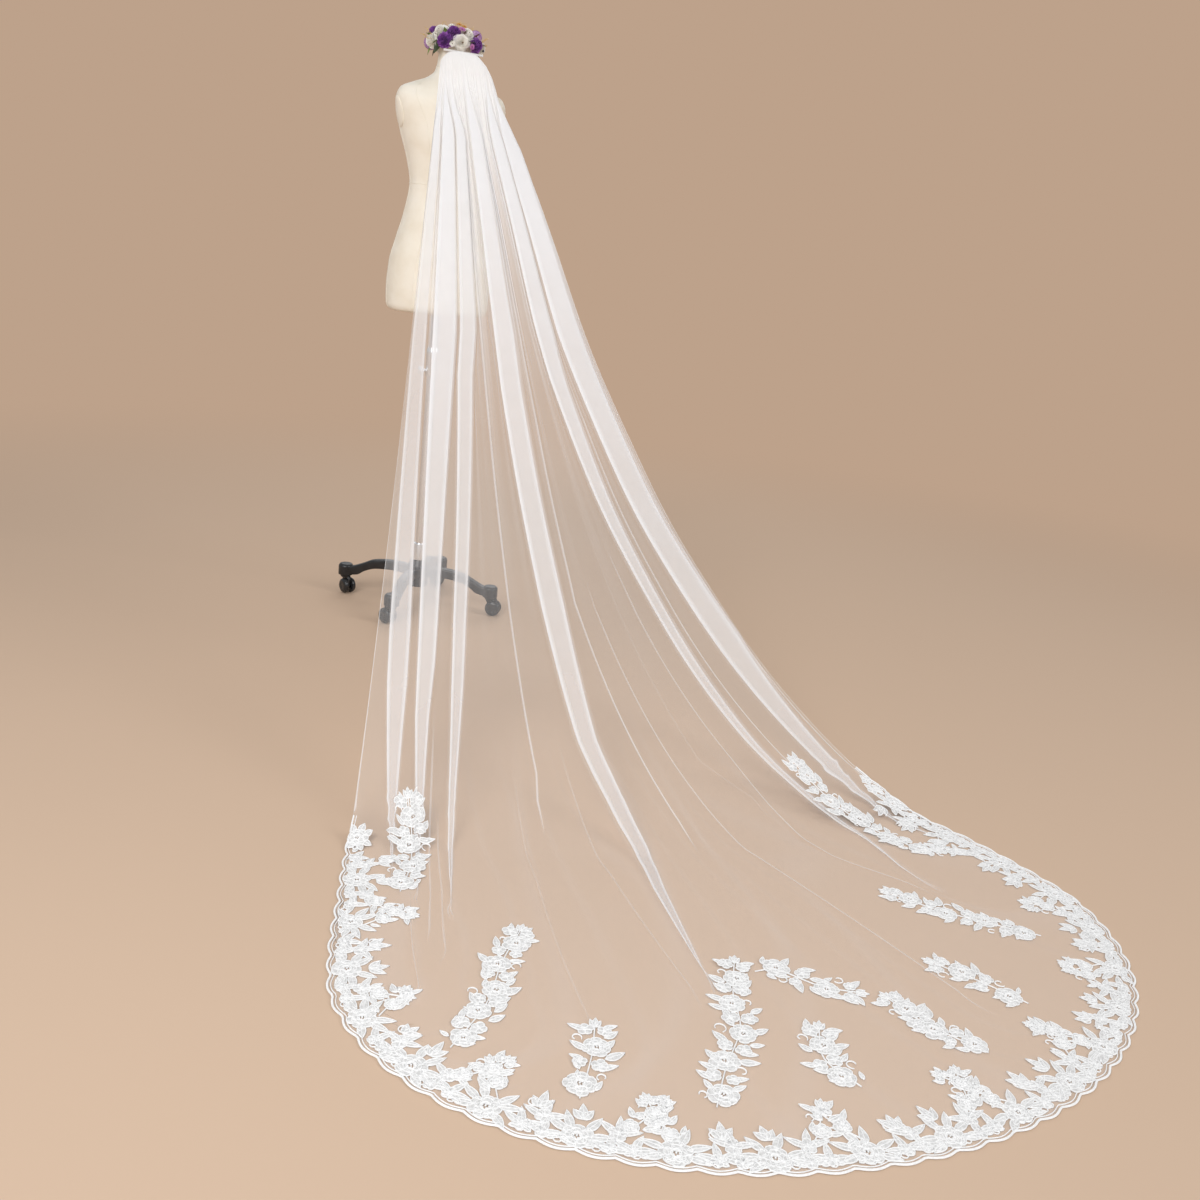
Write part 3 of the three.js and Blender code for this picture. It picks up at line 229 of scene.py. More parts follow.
def colour_ramp(tree, source, stops):
    ramp = tree.nodes.new("ShaderNodeValToRGB")
    ramp.color_ramp.elements[0].position = stops[0][0]
    ramp.color_ramp.elements[0].color = (*stops[0][1], 1)
    ramp.color_ramp.elements[1].position = stops[-1][0]
    ramp.color_ramp.elements[1].color = (*stops[-1][1], 1)
    for place, colour in stops[1:-1]:
        element = ramp.color_ramp.elements.new(place)
        element.color = (*colour, 1)
    tree.links.new(source, ramp.inputs["Fac"])
    return ramp.outputs["Color"]


def noise(tree, scale, detail=3.0):
    node = add_node(tree, "ShaderNodeTexNoise", Scale=scale, Detail=detail)
    place = tree.nodes.new("ShaderNodeTexCoord").outputs["Object"]
    tree.links.new(place, node.inputs["Vector"])
    return node.outputs["Fac"]


def math_node(tree, operation, first, second):
    """A math node fed by a socket, and by another socket or a number."""
    node = add_node(tree, "ShaderNodeMath", operation=operation)
    tree.links.new(first, node.inputs[0])
    if isinstance(second, (int, float)):
        node.inputs[1].default_value = second
    else:
        tree.links.new(second, node.inputs[1])
    return node.outputs[0]


def map_range(tree, source, low, high):
    """A socket that runs from 0 to 1, made to run from low to high."""
    node = add_node(tree, "ShaderNodeMapRange", **{"To Min": low, "To Max": high})
    tree.links.new(source, node.inputs["Value"])
    return node.outputs["Result"]


def bump(tree, shader, source, strength, distance):
    node = add_node(tree, "ShaderNodeBump", Strength=strength, Distance=distance)
    tree.links.new(source, node.inputs["Height"])
    tree.links.new(node.outputs["Normal"], shader.inputs["Normal"])
    return node


def tulle_material():
    """Sheer net: clear where the cover attribute is low, white cloth where layers crowd; on fold turns and
    creases the raised cover is partly painted edge brightening.
    """
    material, tree, shader = new_material("tulle_net")
    tree.nodes.remove(shader)
    output = tree.nodes["Material Output"]
    cover = add_node(tree, "ShaderNodeAttribute", attribute_name="cover")
    mottle = map_range(tree, noise(tree, 9.0, 2.0), 0.90, 1.10)
    amount = add_node(tree, "ShaderNodeMath", operation="MULTIPLY", use_clamp=True)
    tree.links.new(cover.outputs["Fac"], amount.inputs[0])
    tree.links.new(mottle, amount.inputs[1])
    front = add_node(tree, "ShaderNodeBsdfDiffuse", Color=(0.95, 0.955, 0.97, 1), Roughness=0.4)
    through = add_node(tree, "ShaderNodeBsdfTranslucent", Color=(0.95, 0.955, 0.97, 1))
    cloth = add_node(tree, "ShaderNodeMixShader", Fac=0.30)
    tree.links.new(front.outputs[0], cloth.inputs[1])
    tree.links.new(through.outputs[0], cloth.inputs[2])
    clear = add_node(tree, "ShaderNodeBsdfTransparent")
    mix = tree.nodes.new("ShaderNodeMixShader")
    tree.links.new(amount.outputs[0], mix.inputs[0])
    tree.links.new(clear.outputs[0], mix.inputs[1])
    tree.links.new(cloth.outputs[0], mix.inputs[2])
    tree.links.new(mix.outputs[0], output.inputs["Surface"])
    return material


def lace_material(name, dull, bright):
    """Lace thread: matt white with a fine twist; the filling's darker copy is painted shade between the
    cords.
    """
    material, tree, shader = new_material(name)
    tone = noise(tree, 260.0, 4.0)
    colour = colour_ramp(tree, tone, ((0.35, dull), (0.65, bright)))
    tree.links.new(colour, shader.inputs["Base Color"])
    shader.inputs["Roughness"].default_value = 0.75
    shader.inputs["Sheen Weight"].default_value = 0.15
    thread = noise(tree, 1400.0, 3.0)
    bump(tree, shader, thread, 0.5, 0.0006)
    return material


def linen_material():
    """Plain linen cover: crossed threads, slubs and a slow change of tone."""
    material, tree, shader = new_material("linen_cover")
    place = tree.nodes.new("ShaderNodeTexCoord")
    split = tree.nodes.new("ShaderNodeSeparateXYZ")
    tree.links.new(place.outputs["Object"], split.inputs[0])
    offset_x = math_node(tree, "SUBTRACT", split.outputs["X"], float(STAND[0]))
    offset_y = math_node(tree, "SUBTRACT", split.outputs["Y"], float(STAND[1]))
    turn = math_node(tree, "ARCTAN2", offset_y, offset_x)
    around = math_node(tree, "MULTIPLY", turn, FORM_MEAN_RADIUS)
    flat = tree.nodes.new("ShaderNodeCombineXYZ")
    tree.links.new(around, flat.inputs["X"])
    tree.links.new(split.outputs["Z"], flat.inputs["Y"])
    threads = []
    for direction in ("X", "Y"):
        wave = add_node(
            tree, "ShaderNodeTexWave", Scale=390.0, Distortion=1.5, bands_direction=direction
        )
        tree.links.new(flat.outputs[0], wave.inputs["Vector"])
        threads.append(wave.outputs["Fac"])
    weave = math_node(tree, "ADD", *threads)
    tone = noise(tree, 14.0, 5.0)
    colour = colour_ramp(
        tree, tone, ((0.25, (0.84, 0.77, 0.64)), (0.55, (0.91, 0.86, 0.75)), (0.85, (0.94, 0.90, 0.81)))
    )
    tree.links.new(colour, shader.inputs["Base Color"])
    shader.inputs["Roughness"].default_value = 0.85
    shader.inputs["Sheen Weight"].default_value = 0.1
    bump(tree, shader, weave, 0.35, 0.0004)
    return material


def gloss_material(name, colour, roughness, wear_scale):
    """Smooth finish with faint wear in its gloss."""
    material, tree, shader = new_material(name)
    tone = noise(tree, wear_scale, 6.0)
    lighter = tuple(min(1.0, channel * 1.9 + 0.004) for channel in colour)
    tree.links.new(
        colour_ramp(tree, tone, ((0.35, colour), (0.8, lighter))), shader.inputs["Base Color"]
    )
    rough = map_range(tree, tone, roughness * 0.75, roughness * 1.5)
    tree.links.new(rough, shader.inputs["Roughness"])
    bump(tree, shader, noise(tree, wear_scale * 6, 2.0), 0.08, 0.0004)
    return material


def steel_material(name, dull, bright, roughness):
    material, tree, shader = new_material(name)
    shader.inputs["Metallic"].default_value = 1.0
    tone = noise(tree, 220.0, 4.0)
    tree.links.new(
        colour_ramp(tree, tone, ((0.3, dull), (0.7, bright))),
        shader.inputs["Base Color"],
    )
    shader.inputs["Roughness"].default_value = roughness
    bump(tree, shader, tone, 0.1, 0.0003)
    return material


def petal_material(name, inner, outer, scale=90.0):
    """Silk petals: tone varies from place to place, with fine veins and some glow through."""
    material, tree, shader = new_material(name)
    tone = noise(tree, scale, 4.0)
    colour = colour_ramp(tree, tone, ((0.32, inner), (0.68, outer)))
    tree.links.new(colour, shader.inputs["Base Color"])
    shader.inputs["Roughness"].default_value = 0.65
    shader.inputs["Sheen Weight"].default_value = 0.2
    bump(tree, shader, noise(tree, 900.0, 3.0), 0.3, 0.0004)
    through = add_node(tree, "ShaderNodeBsdfTranslucent")
    tree.links.new(colour, through.inputs["Color"])
    mix = add_node(tree, "ShaderNodeMixShader", Fac=0.35)
    output = tree.nodes["Material Output"]
    tree.links.new(shader.outputs[0], mix.inputs[1])
    tree.links.new(through.outputs[0], mix.inputs[2])
    tree.links.new(mix.outputs[0], output.inputs["Surface"])
    return material


def leaf_material(name, dark, light):
    material, tree, shader = new_material(name)
    tone = noise(tree, 70.0, 5.0)
    tree.links.new(colour_ramp(tree, tone, ((0.3, dark), (0.7, light))), shader.inputs["Base Color"])
    shader.inputs["Roughness"].default_value = 0.5
    bump(tree, shader, noise(tree, 700.0, 3.0), 0.4, 0.0004)
    return material


# Mesh helpers


class Shape:
    """Points and faces gathered for one mesh, in metres about the stand."""

    def __init__(self):
        self.points = []
        self.faces = []
        self.slots = []

    def add(self, points, faces, slot=0):
        start = len(self.points)
        self.points.extend(points)
        self.faces.extend([tuple(i + start for i in face) for face in faces])
        self.slots.extend([slot] * len(faces))

    def grid(self, rows, closed=False, slot=0, caps=False):
        """rows of equal length, each a list of points; closed joins a row's two ends."""
        count = len(rows[0])
        points = [point for row in rows for point in row]
        faces = []
        wrap = count if closed else count - 1
        for r in range(len(rows) - 1):
            for i in range(wrap):
                a = r * count + i
                b = r * count + (i + 1) % count
                faces.append((a, b, b + count, a + count))
        if caps:
            faces.append(tuple(reversed(range(count))))
            last = (len(rows) - 1) * count
            faces.append(tuple(range(last, last + count)))
        self.add(points, faces, slot)


def piece(name, shape, materials, slot, body=ROOT, replaces=()):
    mesh = bpy.data.meshes.new(name)
    points = np.asarray(shape.points, float) + STAND
    mesh.from_pydata(points.tolist(), [], shape.faces)
    for material in materials:
        mesh.materials.append(material)
    if len(materials) > 1:
        mesh.polygons.foreach_set("material_index", shape.slots)
    mesh.polygons.foreach_set("use_smooth", [True] * len(mesh.polygons))
    mesh.update()
    made = bpy.data.objects.new(name, mesh)
    bpy.context.scene.collection.objects.link(made)
    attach(made, body)
    if replaces:
        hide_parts(*replaces)
    return made


def lathe_rows(profile, sides, centre=(0, 0)):
    """Rings of a turned shape about a vertical axis, from (radius, z) pairs."""
    rows = []
    for radius, z in profile:
        ring = []
        for i in range(sides):
            turn = TAU * i / sides
            ring.append((centre[0] + radius * math.cos(turn), centre[1] + radius * math.sin(turn), z))
        rows.append(ring)
    return rows


def rounded_profile(corners, bevel, steps=4):
    """(radius, z) corners with each inner corner rounded."""
    made = [corners[0]]
    for before, corner, after in zip(corners, corners[1:], corners[2:]):
        a = Vector(before) - Vector(corner)
        b = Vector(after) - Vector(corner)
        reach = min(bevel, a.length * 0.45, b.length * 0.45)
        start = Vector(corner) + a.normalized() * reach
        end = Vector(corner) + b.normalized() * reach
        for i in range(steps + 1):
            t = i / steps
            blend = start * (1 - t) ** 2 + Vector(corner) * 2 * t * (1 - t) + end * t * t
            made.append((blend.x, blend.y))
    made.append(corners[-1])
    return made


def tube(shape, path, radius, sides=8, slot=0):
    """A round cord along a list of points, with its ends drawn in."""
    points = [Vector(point) for point in path]
    rows = []
    side = Vector((0.3, 0.2, 0.93))
    for i, point in enumerate(points):
        along = (points[min(i + 1, len(points) - 1)] - points[max(i - 1, 0)]).normalized()
        side = (side - along * side.dot(along)).normalized()
        across = along.cross(side)
        size = radius(i / (len(points) - 1)) if callable(radius) else radius
        rows.append([
            point + (side * math.cos(TAU * k / sides) + across * math.sin(TAU * k / sides)) * size
            for k in range(sides)
        ])
    shape.grid([[tuple(p) for p in row] for row in rows], closed=True, slot=slot, caps=True)


# Camera, stage and lights


def camera_axes():
    side = Vector((math.cos(CAMERA_TURN), -math.sin(CAMERA_TURN), 0))
    ahead = Vector((
        math.sin(CAMERA_TURN) * math.cos(CAMERA_DIP),
        math.cos(CAMERA_TURN) * math.cos(CAMERA_DIP),
        -math.sin(CAMERA_DIP),
    ))
    up = side.cross(ahead)
    rolled_side = side * math.cos(CAMERA_ROLL) + up * math.sin(CAMERA_ROLL)
    rolled_up = up * math.cos(CAMERA_ROLL) - side * math.sin(CAMERA_ROLL)
    return rolled_side, rolled_up, ahead


def make_camera():
    side, up, ahead = camera_axes()
    data = bpy.data.cameras.new("camera")
    data.sensor_width = CAMERA_SENSOR
    data.lens = CAMERA_LENS
    data.clip_end = 60.0
    camera = bpy.data.objects.new("camera", data)
    turn = Matrix((side, up, -ahead)).transposed().to_4x4()
    camera.matrix_world = Matrix.Translation(Vector(CAMERA_PLACE) + Vector(STAND)) @ turn
    bpy.context.scene.collection.objects.link(camera)
    bpy.context.scene.camera = camera
    bpy.context.scene.view_settings.view_transform = "Standard"


FLOOR_TONE = (0.600, 0.440, 0.322)
BACKDROP_TONE = (0.510, 0.360, 0.258)
FLOOR_NEAR = 2.2
FLOOR_FAR = 5.2
FLOOR_RADIUS = 30.0
FLOOR_DROP = 0.0008


def floor_material():
    """Paper sweep: matt near the object, and one even tone far away."""
    material, tree, shader = new_material("floor_paper")
    place = tree.nodes.new("ShaderNodeTexCoord")
    distance = add_node(tree, "ShaderNodeVectorMath", operation="LENGTH")
    tree.links.new(place.outputs["Object"], distance.inputs[0])
    fade = add_node(tree, "ShaderNodeMapRange", interpolation_type="SMOOTHSTEP")
    fade.inputs["From Min"].default_value = FLOOR_NEAR
    fade.inputs["From Max"].default_value = FLOOR_FAR
    tree.links.new(distance.outputs["Value"], fade.inputs["Value"])
    shader.inputs["Base Color"].default_value = (*FLOOR_TONE, 1)
    shader.inputs["Roughness"].default_value = 0.95
    shader.inputs["Specular IOR Level"].default_value = 0.1
    even = add_node(tree, "ShaderNodeEmission", Color=(*BACKDROP_TONE, 1), Strength=1.0)
    mix = tree.nodes.new("ShaderNodeMixShader")
    tree.links.new(fade.outputs["Result"], mix.inputs[0])
    tree.links.new(shader.outputs[0], mix.inputs[1])
    tree.links.new(even.outputs[0], mix.inputs[2])
    tree.links.new(mix.outputs[0], tree.nodes["Material Output"].inputs["Surface"])
    return material


def make_stage():
    bpy.ops.mesh.primitive_circle_add(vertices=96, radius=FLOOR_RADIUS, fill_type="NGON")
    floor = bpy.context.object
    floor.name = "floor"
    floor.location = (0, 0, -FLOOR_DROP)
    floor.data.materials.append(floor_material())

    world = bpy.data.worlds.new("studio")
    bpy.context.scene.world = world
    world.use_nodes = True
    tree = world.node_tree
    seen = tree.nodes["Background"]
    seen.inputs["Color"].default_value = (*BACKDROP_TONE, 1)
    seen.inputs["Strength"].default_value = 1.0
    soft = add_node(tree, "ShaderNodeBackground", Color=(0.97, 0.985, 1.01, 1), Strength=0.44)
    path = tree.nodes.new("ShaderNodeLightPath")
    mix = tree.nodes.new("ShaderNodeMixShader")
    tree.links.new(path.outputs["Is Camera Ray"], mix.inputs[0])
    tree.links.new(soft.outputs[0], mix.inputs[1])
    tree.links.new(seen.outputs[0], mix.inputs[2])
    tree.links.new(mix.outputs[0], tree.nodes["World Output"].inputs["Surface"])


def add_light(name, place, target, size, power):
    data = bpy.data.lights.new(name, "AREA")
    data.shape = "SQUARE"
    data.size = size
    data.energy = power
    light = bpy.data.objects.new(name, data)
    start = Vector(place) + Vector(STAND)
    aim = Vector(target) + Vector(STAND)
    light.location = start
    light.rotation_euler = (aim - start).to_track_quat("-Z", "Y").to_euler()
    bpy.context.scene.collection.objects.link(light)


def make_lights():
    middle = (0.1, -1.1, 0.6)
    upper = (0.0, -0.3, 1.35)
    add_light("key", (-4.2, -5.2, 4.4), middle, 3.2, 188)
    add_light("fill", (4.6, -4.8, 3.8), middle, 3.0, 125)
    add_light("back", (1.5, 3.4, 3.4), middle, 3.0, 50)
    add_light("upper", (-1.6, -3.2, 2.3), upper, 1.6, 32)


make_camera()
make_stage()
make_lights()

TULLE = tulle_material()
# The filling is a darker copy of the thread colour: painted shade between the raised cords
LACE_FILLING_PAINTED_SHADE = lace_material("lace_filling_painted_shade", (0.56, 0.55, 0.54), (0.78, 0.77, 0.76))
LACE_CORD = lace_material("lace_cord", (0.86, 0.855, 0.85), (0.93, 0.925, 0.92))
LINEN = linen_material()
ENAMEL = gloss_material("black_enamel", (0.010, 0.010, 0.011), 0.30, 30.0)
NYLON = gloss_material("caster_nylon", (0.014, 0.014, 0.015), 0.16, 60.0)
STEEL = steel_material("drawn_steel", (0.55, 0.55, 0.57), (0.78, 0.78, 0.80), 0.28)
CHROME = steel_material("satin_chrome", (0.80, 0.81, 0.83), (0.90, 0.91, 0.93), 0.32)


# Veil


def half_width(back):
    straight = VEIL_TOP_HALF_WIDTH + VEIL_SPREAD * (back - VEIL_START_BACK)
    k = TRAIN_WIDTH_SOFTENING
    return -k * np.log(np.exp(-straight / k) + np.exp(-TRAIN_HALF_WIDTH / k))


def middle(back):
    t = (back - VEIL_START_BACK) / (TRAIN_DRIFT_BACK - VEIL_START_BACK)
    return TRAIN_DRIFT * np.clip(t, 0, TRAIN_DRIFT_LIMIT)


def height(across, back):
    side = np.where(across < 0, TOUCHDOWN_LEFT, TOUCHDOWN_RIGHT)
    reach = lerp(TOUCHDOWN_MIDDLE, side, np.minimum(1, np.abs(across)))
    along = clamp01((back - VEIL_START_BACK) / (reach - VEIL_START_BACK))
    slack = clamp01((1 + across) / 2)
    taut = hermite_table(FALL_ALONG, FALL_TAUT, along)
    loose = hermite_table(FALL_ALONG, FALL_SLACK, along)
    return VEIL_TOP_HEIGHT * lerp(taut, loose, slack) + CLOTH_LIFT


def hanging(across, back):
    x = middle(back) + across * half_width(back)
    below = back - VEIL_TOP_BACK
    crest = CREST_HEIGHT * np.sin(math.pi * clamp01(below / CREST_REACH + 0.1))
    droop = SHOULDER_DROOP * across ** 4 * (1 - smooth(below / SHOULDER_REACH))
    z = height(across, back) + crest - droop
    return np.stack([x, -back * np.ones_like(across), z], axis=-1)


def hem_table():
    """The hem as a dense run of points with the share of its length at each."""
    steps = 240
    sides = np.linspace(HEM_START_BACK, HEM_STRAIGHT_END, steps, endpoint=False)
    left = np.stack([middle(sides) - half_width(sides), -sides], axis=-1)
    turn = np.linspace(0, math.pi, 6 * steps + 1)
    centre = middle(HEM_STRAIGHT_END)
    side = half_width(HEM_STRAIGHT_END)
    around = np.stack([
        centre - side * np.cos(turn), -HEM_STRAIGHT_END - HEM_DEPTH * np.sin(turn)
    ], axis=-1)
    right = np.stack([middle(sides) + half_width(sides), -sides], axis=-1)[::-1]
    points = np.concatenate([left, around, right])
    run = run_lengths(points)
    return points, run / run[-1]


HEM_POINTS, HEM_SHARES = hem_table()


def hem_point(share, inward):
    """A point at a share of the hem's length, moved in from the edge, and its direction."""
    share = np.clip(share, 0, 1)
    step = 0.0008
    place = np.stack([np.interp(share, HEM_SHARES, HEM_POINTS[:, k]) for k in (0, 1)], axis=-1)
    ahead = np.stack([np.interp(share + step, HEM_SHARES, HEM_POINTS[:, k]) for k in (0, 1)], axis=-1)
    behind = np.stack([np.interp(share - step, HEM_SHARES, HEM_POINTS[:, k]) for k in (0, 1)], axis=-1)
    along = ahead - behind
    along = along / np.linalg.norm(along, axis=-1, keepdims=True)
    inside = np.stack([-along[..., 1], along[..., 0]], axis=-1)
    return place + inside * np.asarray(inward)[..., None], along


def scallop(share):
    wave = np.abs(np.sin(math.pi * LACE_REPEATS * SCALLOPS_PER_REPEAT * share))
    fade = smooth(np.minimum(share, 1 - share) / SCALLOP_FADE)
    return SCALLOP_DEPTH * wave * fade


def on_train(x, y):
    back = -y
    across = (x - middle(back)) / half_width(back)
    return np.stack([x, y, height(across, back)], axis=-1)


def veil_base(across, level):
    """The smooth veil: level 0 to 1 hangs, 1 to 2 is the train out to its hem."""
    across = np.asarray(across, float)
    if level <= 1:
        return hanging(across, VEIL_TOP_BACK + (TRAIN_START - VEIL_TOP_BACK) * level)
    inner = hanging(across, TRAIN_START)
    share = (across + 1) / 2
    edge, _ = hem_point(share, -scallop(share))
    t = level - 1
    return on_train(lerp(inner[..., 0], edge[..., 0], t), lerp(inner[..., 1], edge[..., 1], t))


def veil_normals(across, level):
    aside = 0.004
    ahead = 0.004
    near = np.clip(across, -1 + aside, 1 - aside)
    other = level - ahead if level > 1.5 or 0.5 < level <= 1 else level + ahead
    du = veil_base(near + aside, level) - veil_base(near - aside, level)
    dv = (veil_base(near, other) - veil_base(near, level)) * (1 if other > level else -1)
    normal = np.cross(dv, du)
    return normal / np.linalg.norm(normal, axis=-1, keepdims=True)


def stations(feature, key, back):
    if key == "at" and "path" in feature:
        places, values = zip(*feature["path"])
        return np.interp(back, places, values)
    values = feature[key]
    places = list(FOLD_STATIONS)
    if len(values) > len(places):
        places.append(max(feature["end"], FOLD_STATIONS[-1] + 0.05))
    return np.interp(back, places, values)


def fold_outline():
    """A flat fold's section: per column its place in half overlaps, in layer gaps, and out, and 1 on the
    turns, whose raised cover is partly crowded net and partly painted edge brightening.
    """
    columns = []
    straight = 6
    round_steps = 6
    for i in range(straight):
        t = i / straight
        columns.append((lerp(-1, 1, t), lerp(-1, 0, t), 0.0, 0.0))
    for i in range(round_steps + 1):
        turn = -math.pi / 2 + math.pi * i / round_steps
        columns.append((1.0, 0.5 * math.cos(turn), 0.5 + 0.5 * math.sin(turn), 1.0))
    for i in range(1, straight):
        t = i / straight
        columns.append((lerp(1, -1, t), 0.0, 1.0, 0.0))
    for i in range(round_steps + 1):
        turn = -math.pi / 2 - math.pi * i / round_steps
        columns.append((-1.0, 0.5 * math.cos(turn), 1.5 + 0.5 * math.sin(turn), 1.0))
    for i in range(1, straight + 1):
        t = i / straight
        columns.append((lerp(-1, 1, t), lerp(0, 1, t), 2.0, 0.0))
    return columns


FOLD_OUTLINE = fold_outline()
# A crease's section: across, height, and share of its extra cover, which is partly painted brightening
RIDGE_OUTLINE = ((-1, 0, 0), (-0.45, 0.45, 0.7), (0, 1, 1), (0.45, 0.45, 0.7), (1, 0, 0))


def veil_columns():
    """Shares of the width from edge to edge, close together in every fold and ridge."""
    features = [{**fold, "kind": "fold"} for fold in FOLDS]
    features += [{**ridge, "kind": "ridge"} for ridge in RIDGES]
    features.sort(key=lambda feature: feature["at"][2])
    for feature in features:
        count = len(FOLD_OUTLINE) if feature["kind"] == "fold" else len(RIDGE_OUTLINE)
        feature["count"] = count
        feature["share"] = (1 + feature["at"][3]) / 2
        feature["span"] = FLAT_SPAN[feature["kind"]]
    columns = []
    edge = 0.0
    for feature in features:
        start = feature["share"] - feature["span"]
        between = max(2, round((start - edge) / COLUMN_SPACING))
        columns += [lerp(edge, start, (i + 0.5) / between) for i in range(between)]
        feature["first"] = len(columns)
        for i in range(feature["count"]):
            t = i / (feature["count"] - 1)
            columns.append(lerp(start, feature["share"] + feature["span"], t))
        feature["last"] = len(columns) - 1
        edge = feature["share"] + feature["span"]
    between = max(3, round((1 - edge) / COLUMN_SPACING))
    columns += [lerp(edge, 1.0, (i + 0.5) / between) for i in range(between)]
    for feature in features:
        feature["first"] += len(SELVAGE_SHARES)
        feature["last"] += len(SELVAGE_SHARES)
    far_side = [1 - share for share in reversed(SELVAGE_SHARES)]
    return [*SELVAGE_SHARES, *columns, *far_side], features


def streaks(share):
    """Uneven crowding of the gathers, the same all the way down."""
    waves = (
        0.5 * np.sin(share * 61 + 0.7) + 0.5 * np.sin(share * 113 + 2.1)
        + 0.4 * np.sin(share * 187 + 4.4) + 0.2 * np.sin(share * 271 + 1.9)
    )
    return np.tanh(1.3 * waves)


def wrinkles(share, back):
    """Faint slanting wrinkles where the train lies on the floor."""
    slant = share * 44 + back * 5 + 1.2 * np.sin(back * 4.3 + share * 6)
    fine = share * 101 - back * 7 + 1.5 * np.sin(back * 6.1)
    return np.maximum(0, np.sin(slant)) ** 6 + 0.7 * np.maximum(0, np.sin(fine)) ** 8


PATH_GRID = np.linspace(-0.99, 0.99, 397)


def row_grid(level):
    """A row sampled evenly: distance back, true place across, and metres per place."""
    points = veil_base(PATH_GRID, level)
    back = -points[:, 1]
    spread = (points[:, 0] - middle(back)) / half_width(back)
    half = np.linalg.norm(np.gradient(points, PATH_GRID, axis=0), axis=-1)
    return back, spread, half


def path_across(feature, grid):
    """Where a fold's own path crosses a row: on the train the rows bend toward the hem."""
    back, spread, _ = grid
    misses = spread - stations(feature, "at", back)
    crossed = np.nonzero((misses[:-1] < 0) & (misses[1:] >= 0))[0]
    if len(crossed) == 0:
        return 2 * feature["share"] - 1
    i = crossed[0]
    t = -misses[i] / (misses[i + 1] - misses[i])
    return float(lerp(PATH_GRID[i], PATH_GRID[i + 1], t))


def feature_at(feature, grid):
    """A fold's or ridge's state on one row: its centre, reach, overlap and strength."""
    path = path_across(feature, grid)
    back = float(np.interp(path, PATH_GRID, grid[0]))
    opened = float(smooth((back - FOLD_OPENING[0]) / (FOLD_OPENING[1] - FOLD_OPENING[0])))
    followed = float(smooth((feature["end"] + FOLD_TAIL - back) / FOLD_TAIL))
    begin = feature.get("start", FOLD_OPENING[0])
    begun = float(smooth((back - begin) / (FOLD_OPENING[1] - FOLD_OPENING[0])))
    ended = float(smooth((feature["end"] + 0.10 - back) / 0.10))
    amount = begun * ended
    centre = lerp(2 * feature["share"] - 1, path, opened * followed)
    half = float(np.interp(centre, PATH_GRID, grid[2]))
    flat_reach = feature["span"] * 2
    state = {"centre": centre, "half": half, "back": back, "amount": amount, "flat": flat_reach}
    if feature["kind"] == "fold":
        remaining = float(clamp01((feature["end"] - back) / feature["taper"])) ** 0.75
        narrow = min(1.0, half / FULL_FOLD_HALF_WIDTH)
        state["overlap"] = float(stations(feature, "overlap", back)) * remaining * begun * narrow
        state["gap"] = LAYER_GAP * (0.25 + 0.75 * remaining)
        folded_reach = (state["overlap"] / 2 + state["gap"]) / half
    else:
        folded_reach = RIDGE_HALF_WIDTH * min(1.0, half / FULL_FOLD_HALF_WIDTH) / half
    state["folded"] = folded_reach
    state["reach"] = lerp(flat_reach, folded_reach, amount)
    return state


def keep_apart(states):
    """Moves neighbours that would cross to just beside each other."""
    edge = -1.0
    for state in states:
        state["centre"] = max(state["centre"], edge + state["reach"] + FEATURE_SPACE)
        edge = state["centre"] + state["reach"]
    edge = 1.0
    for state in reversed(states):
        state["centre"] = min(state["centre"], edge - state["reach"] - FEATURE_SPACE)
        edge = state["centre"] - state["reach"]


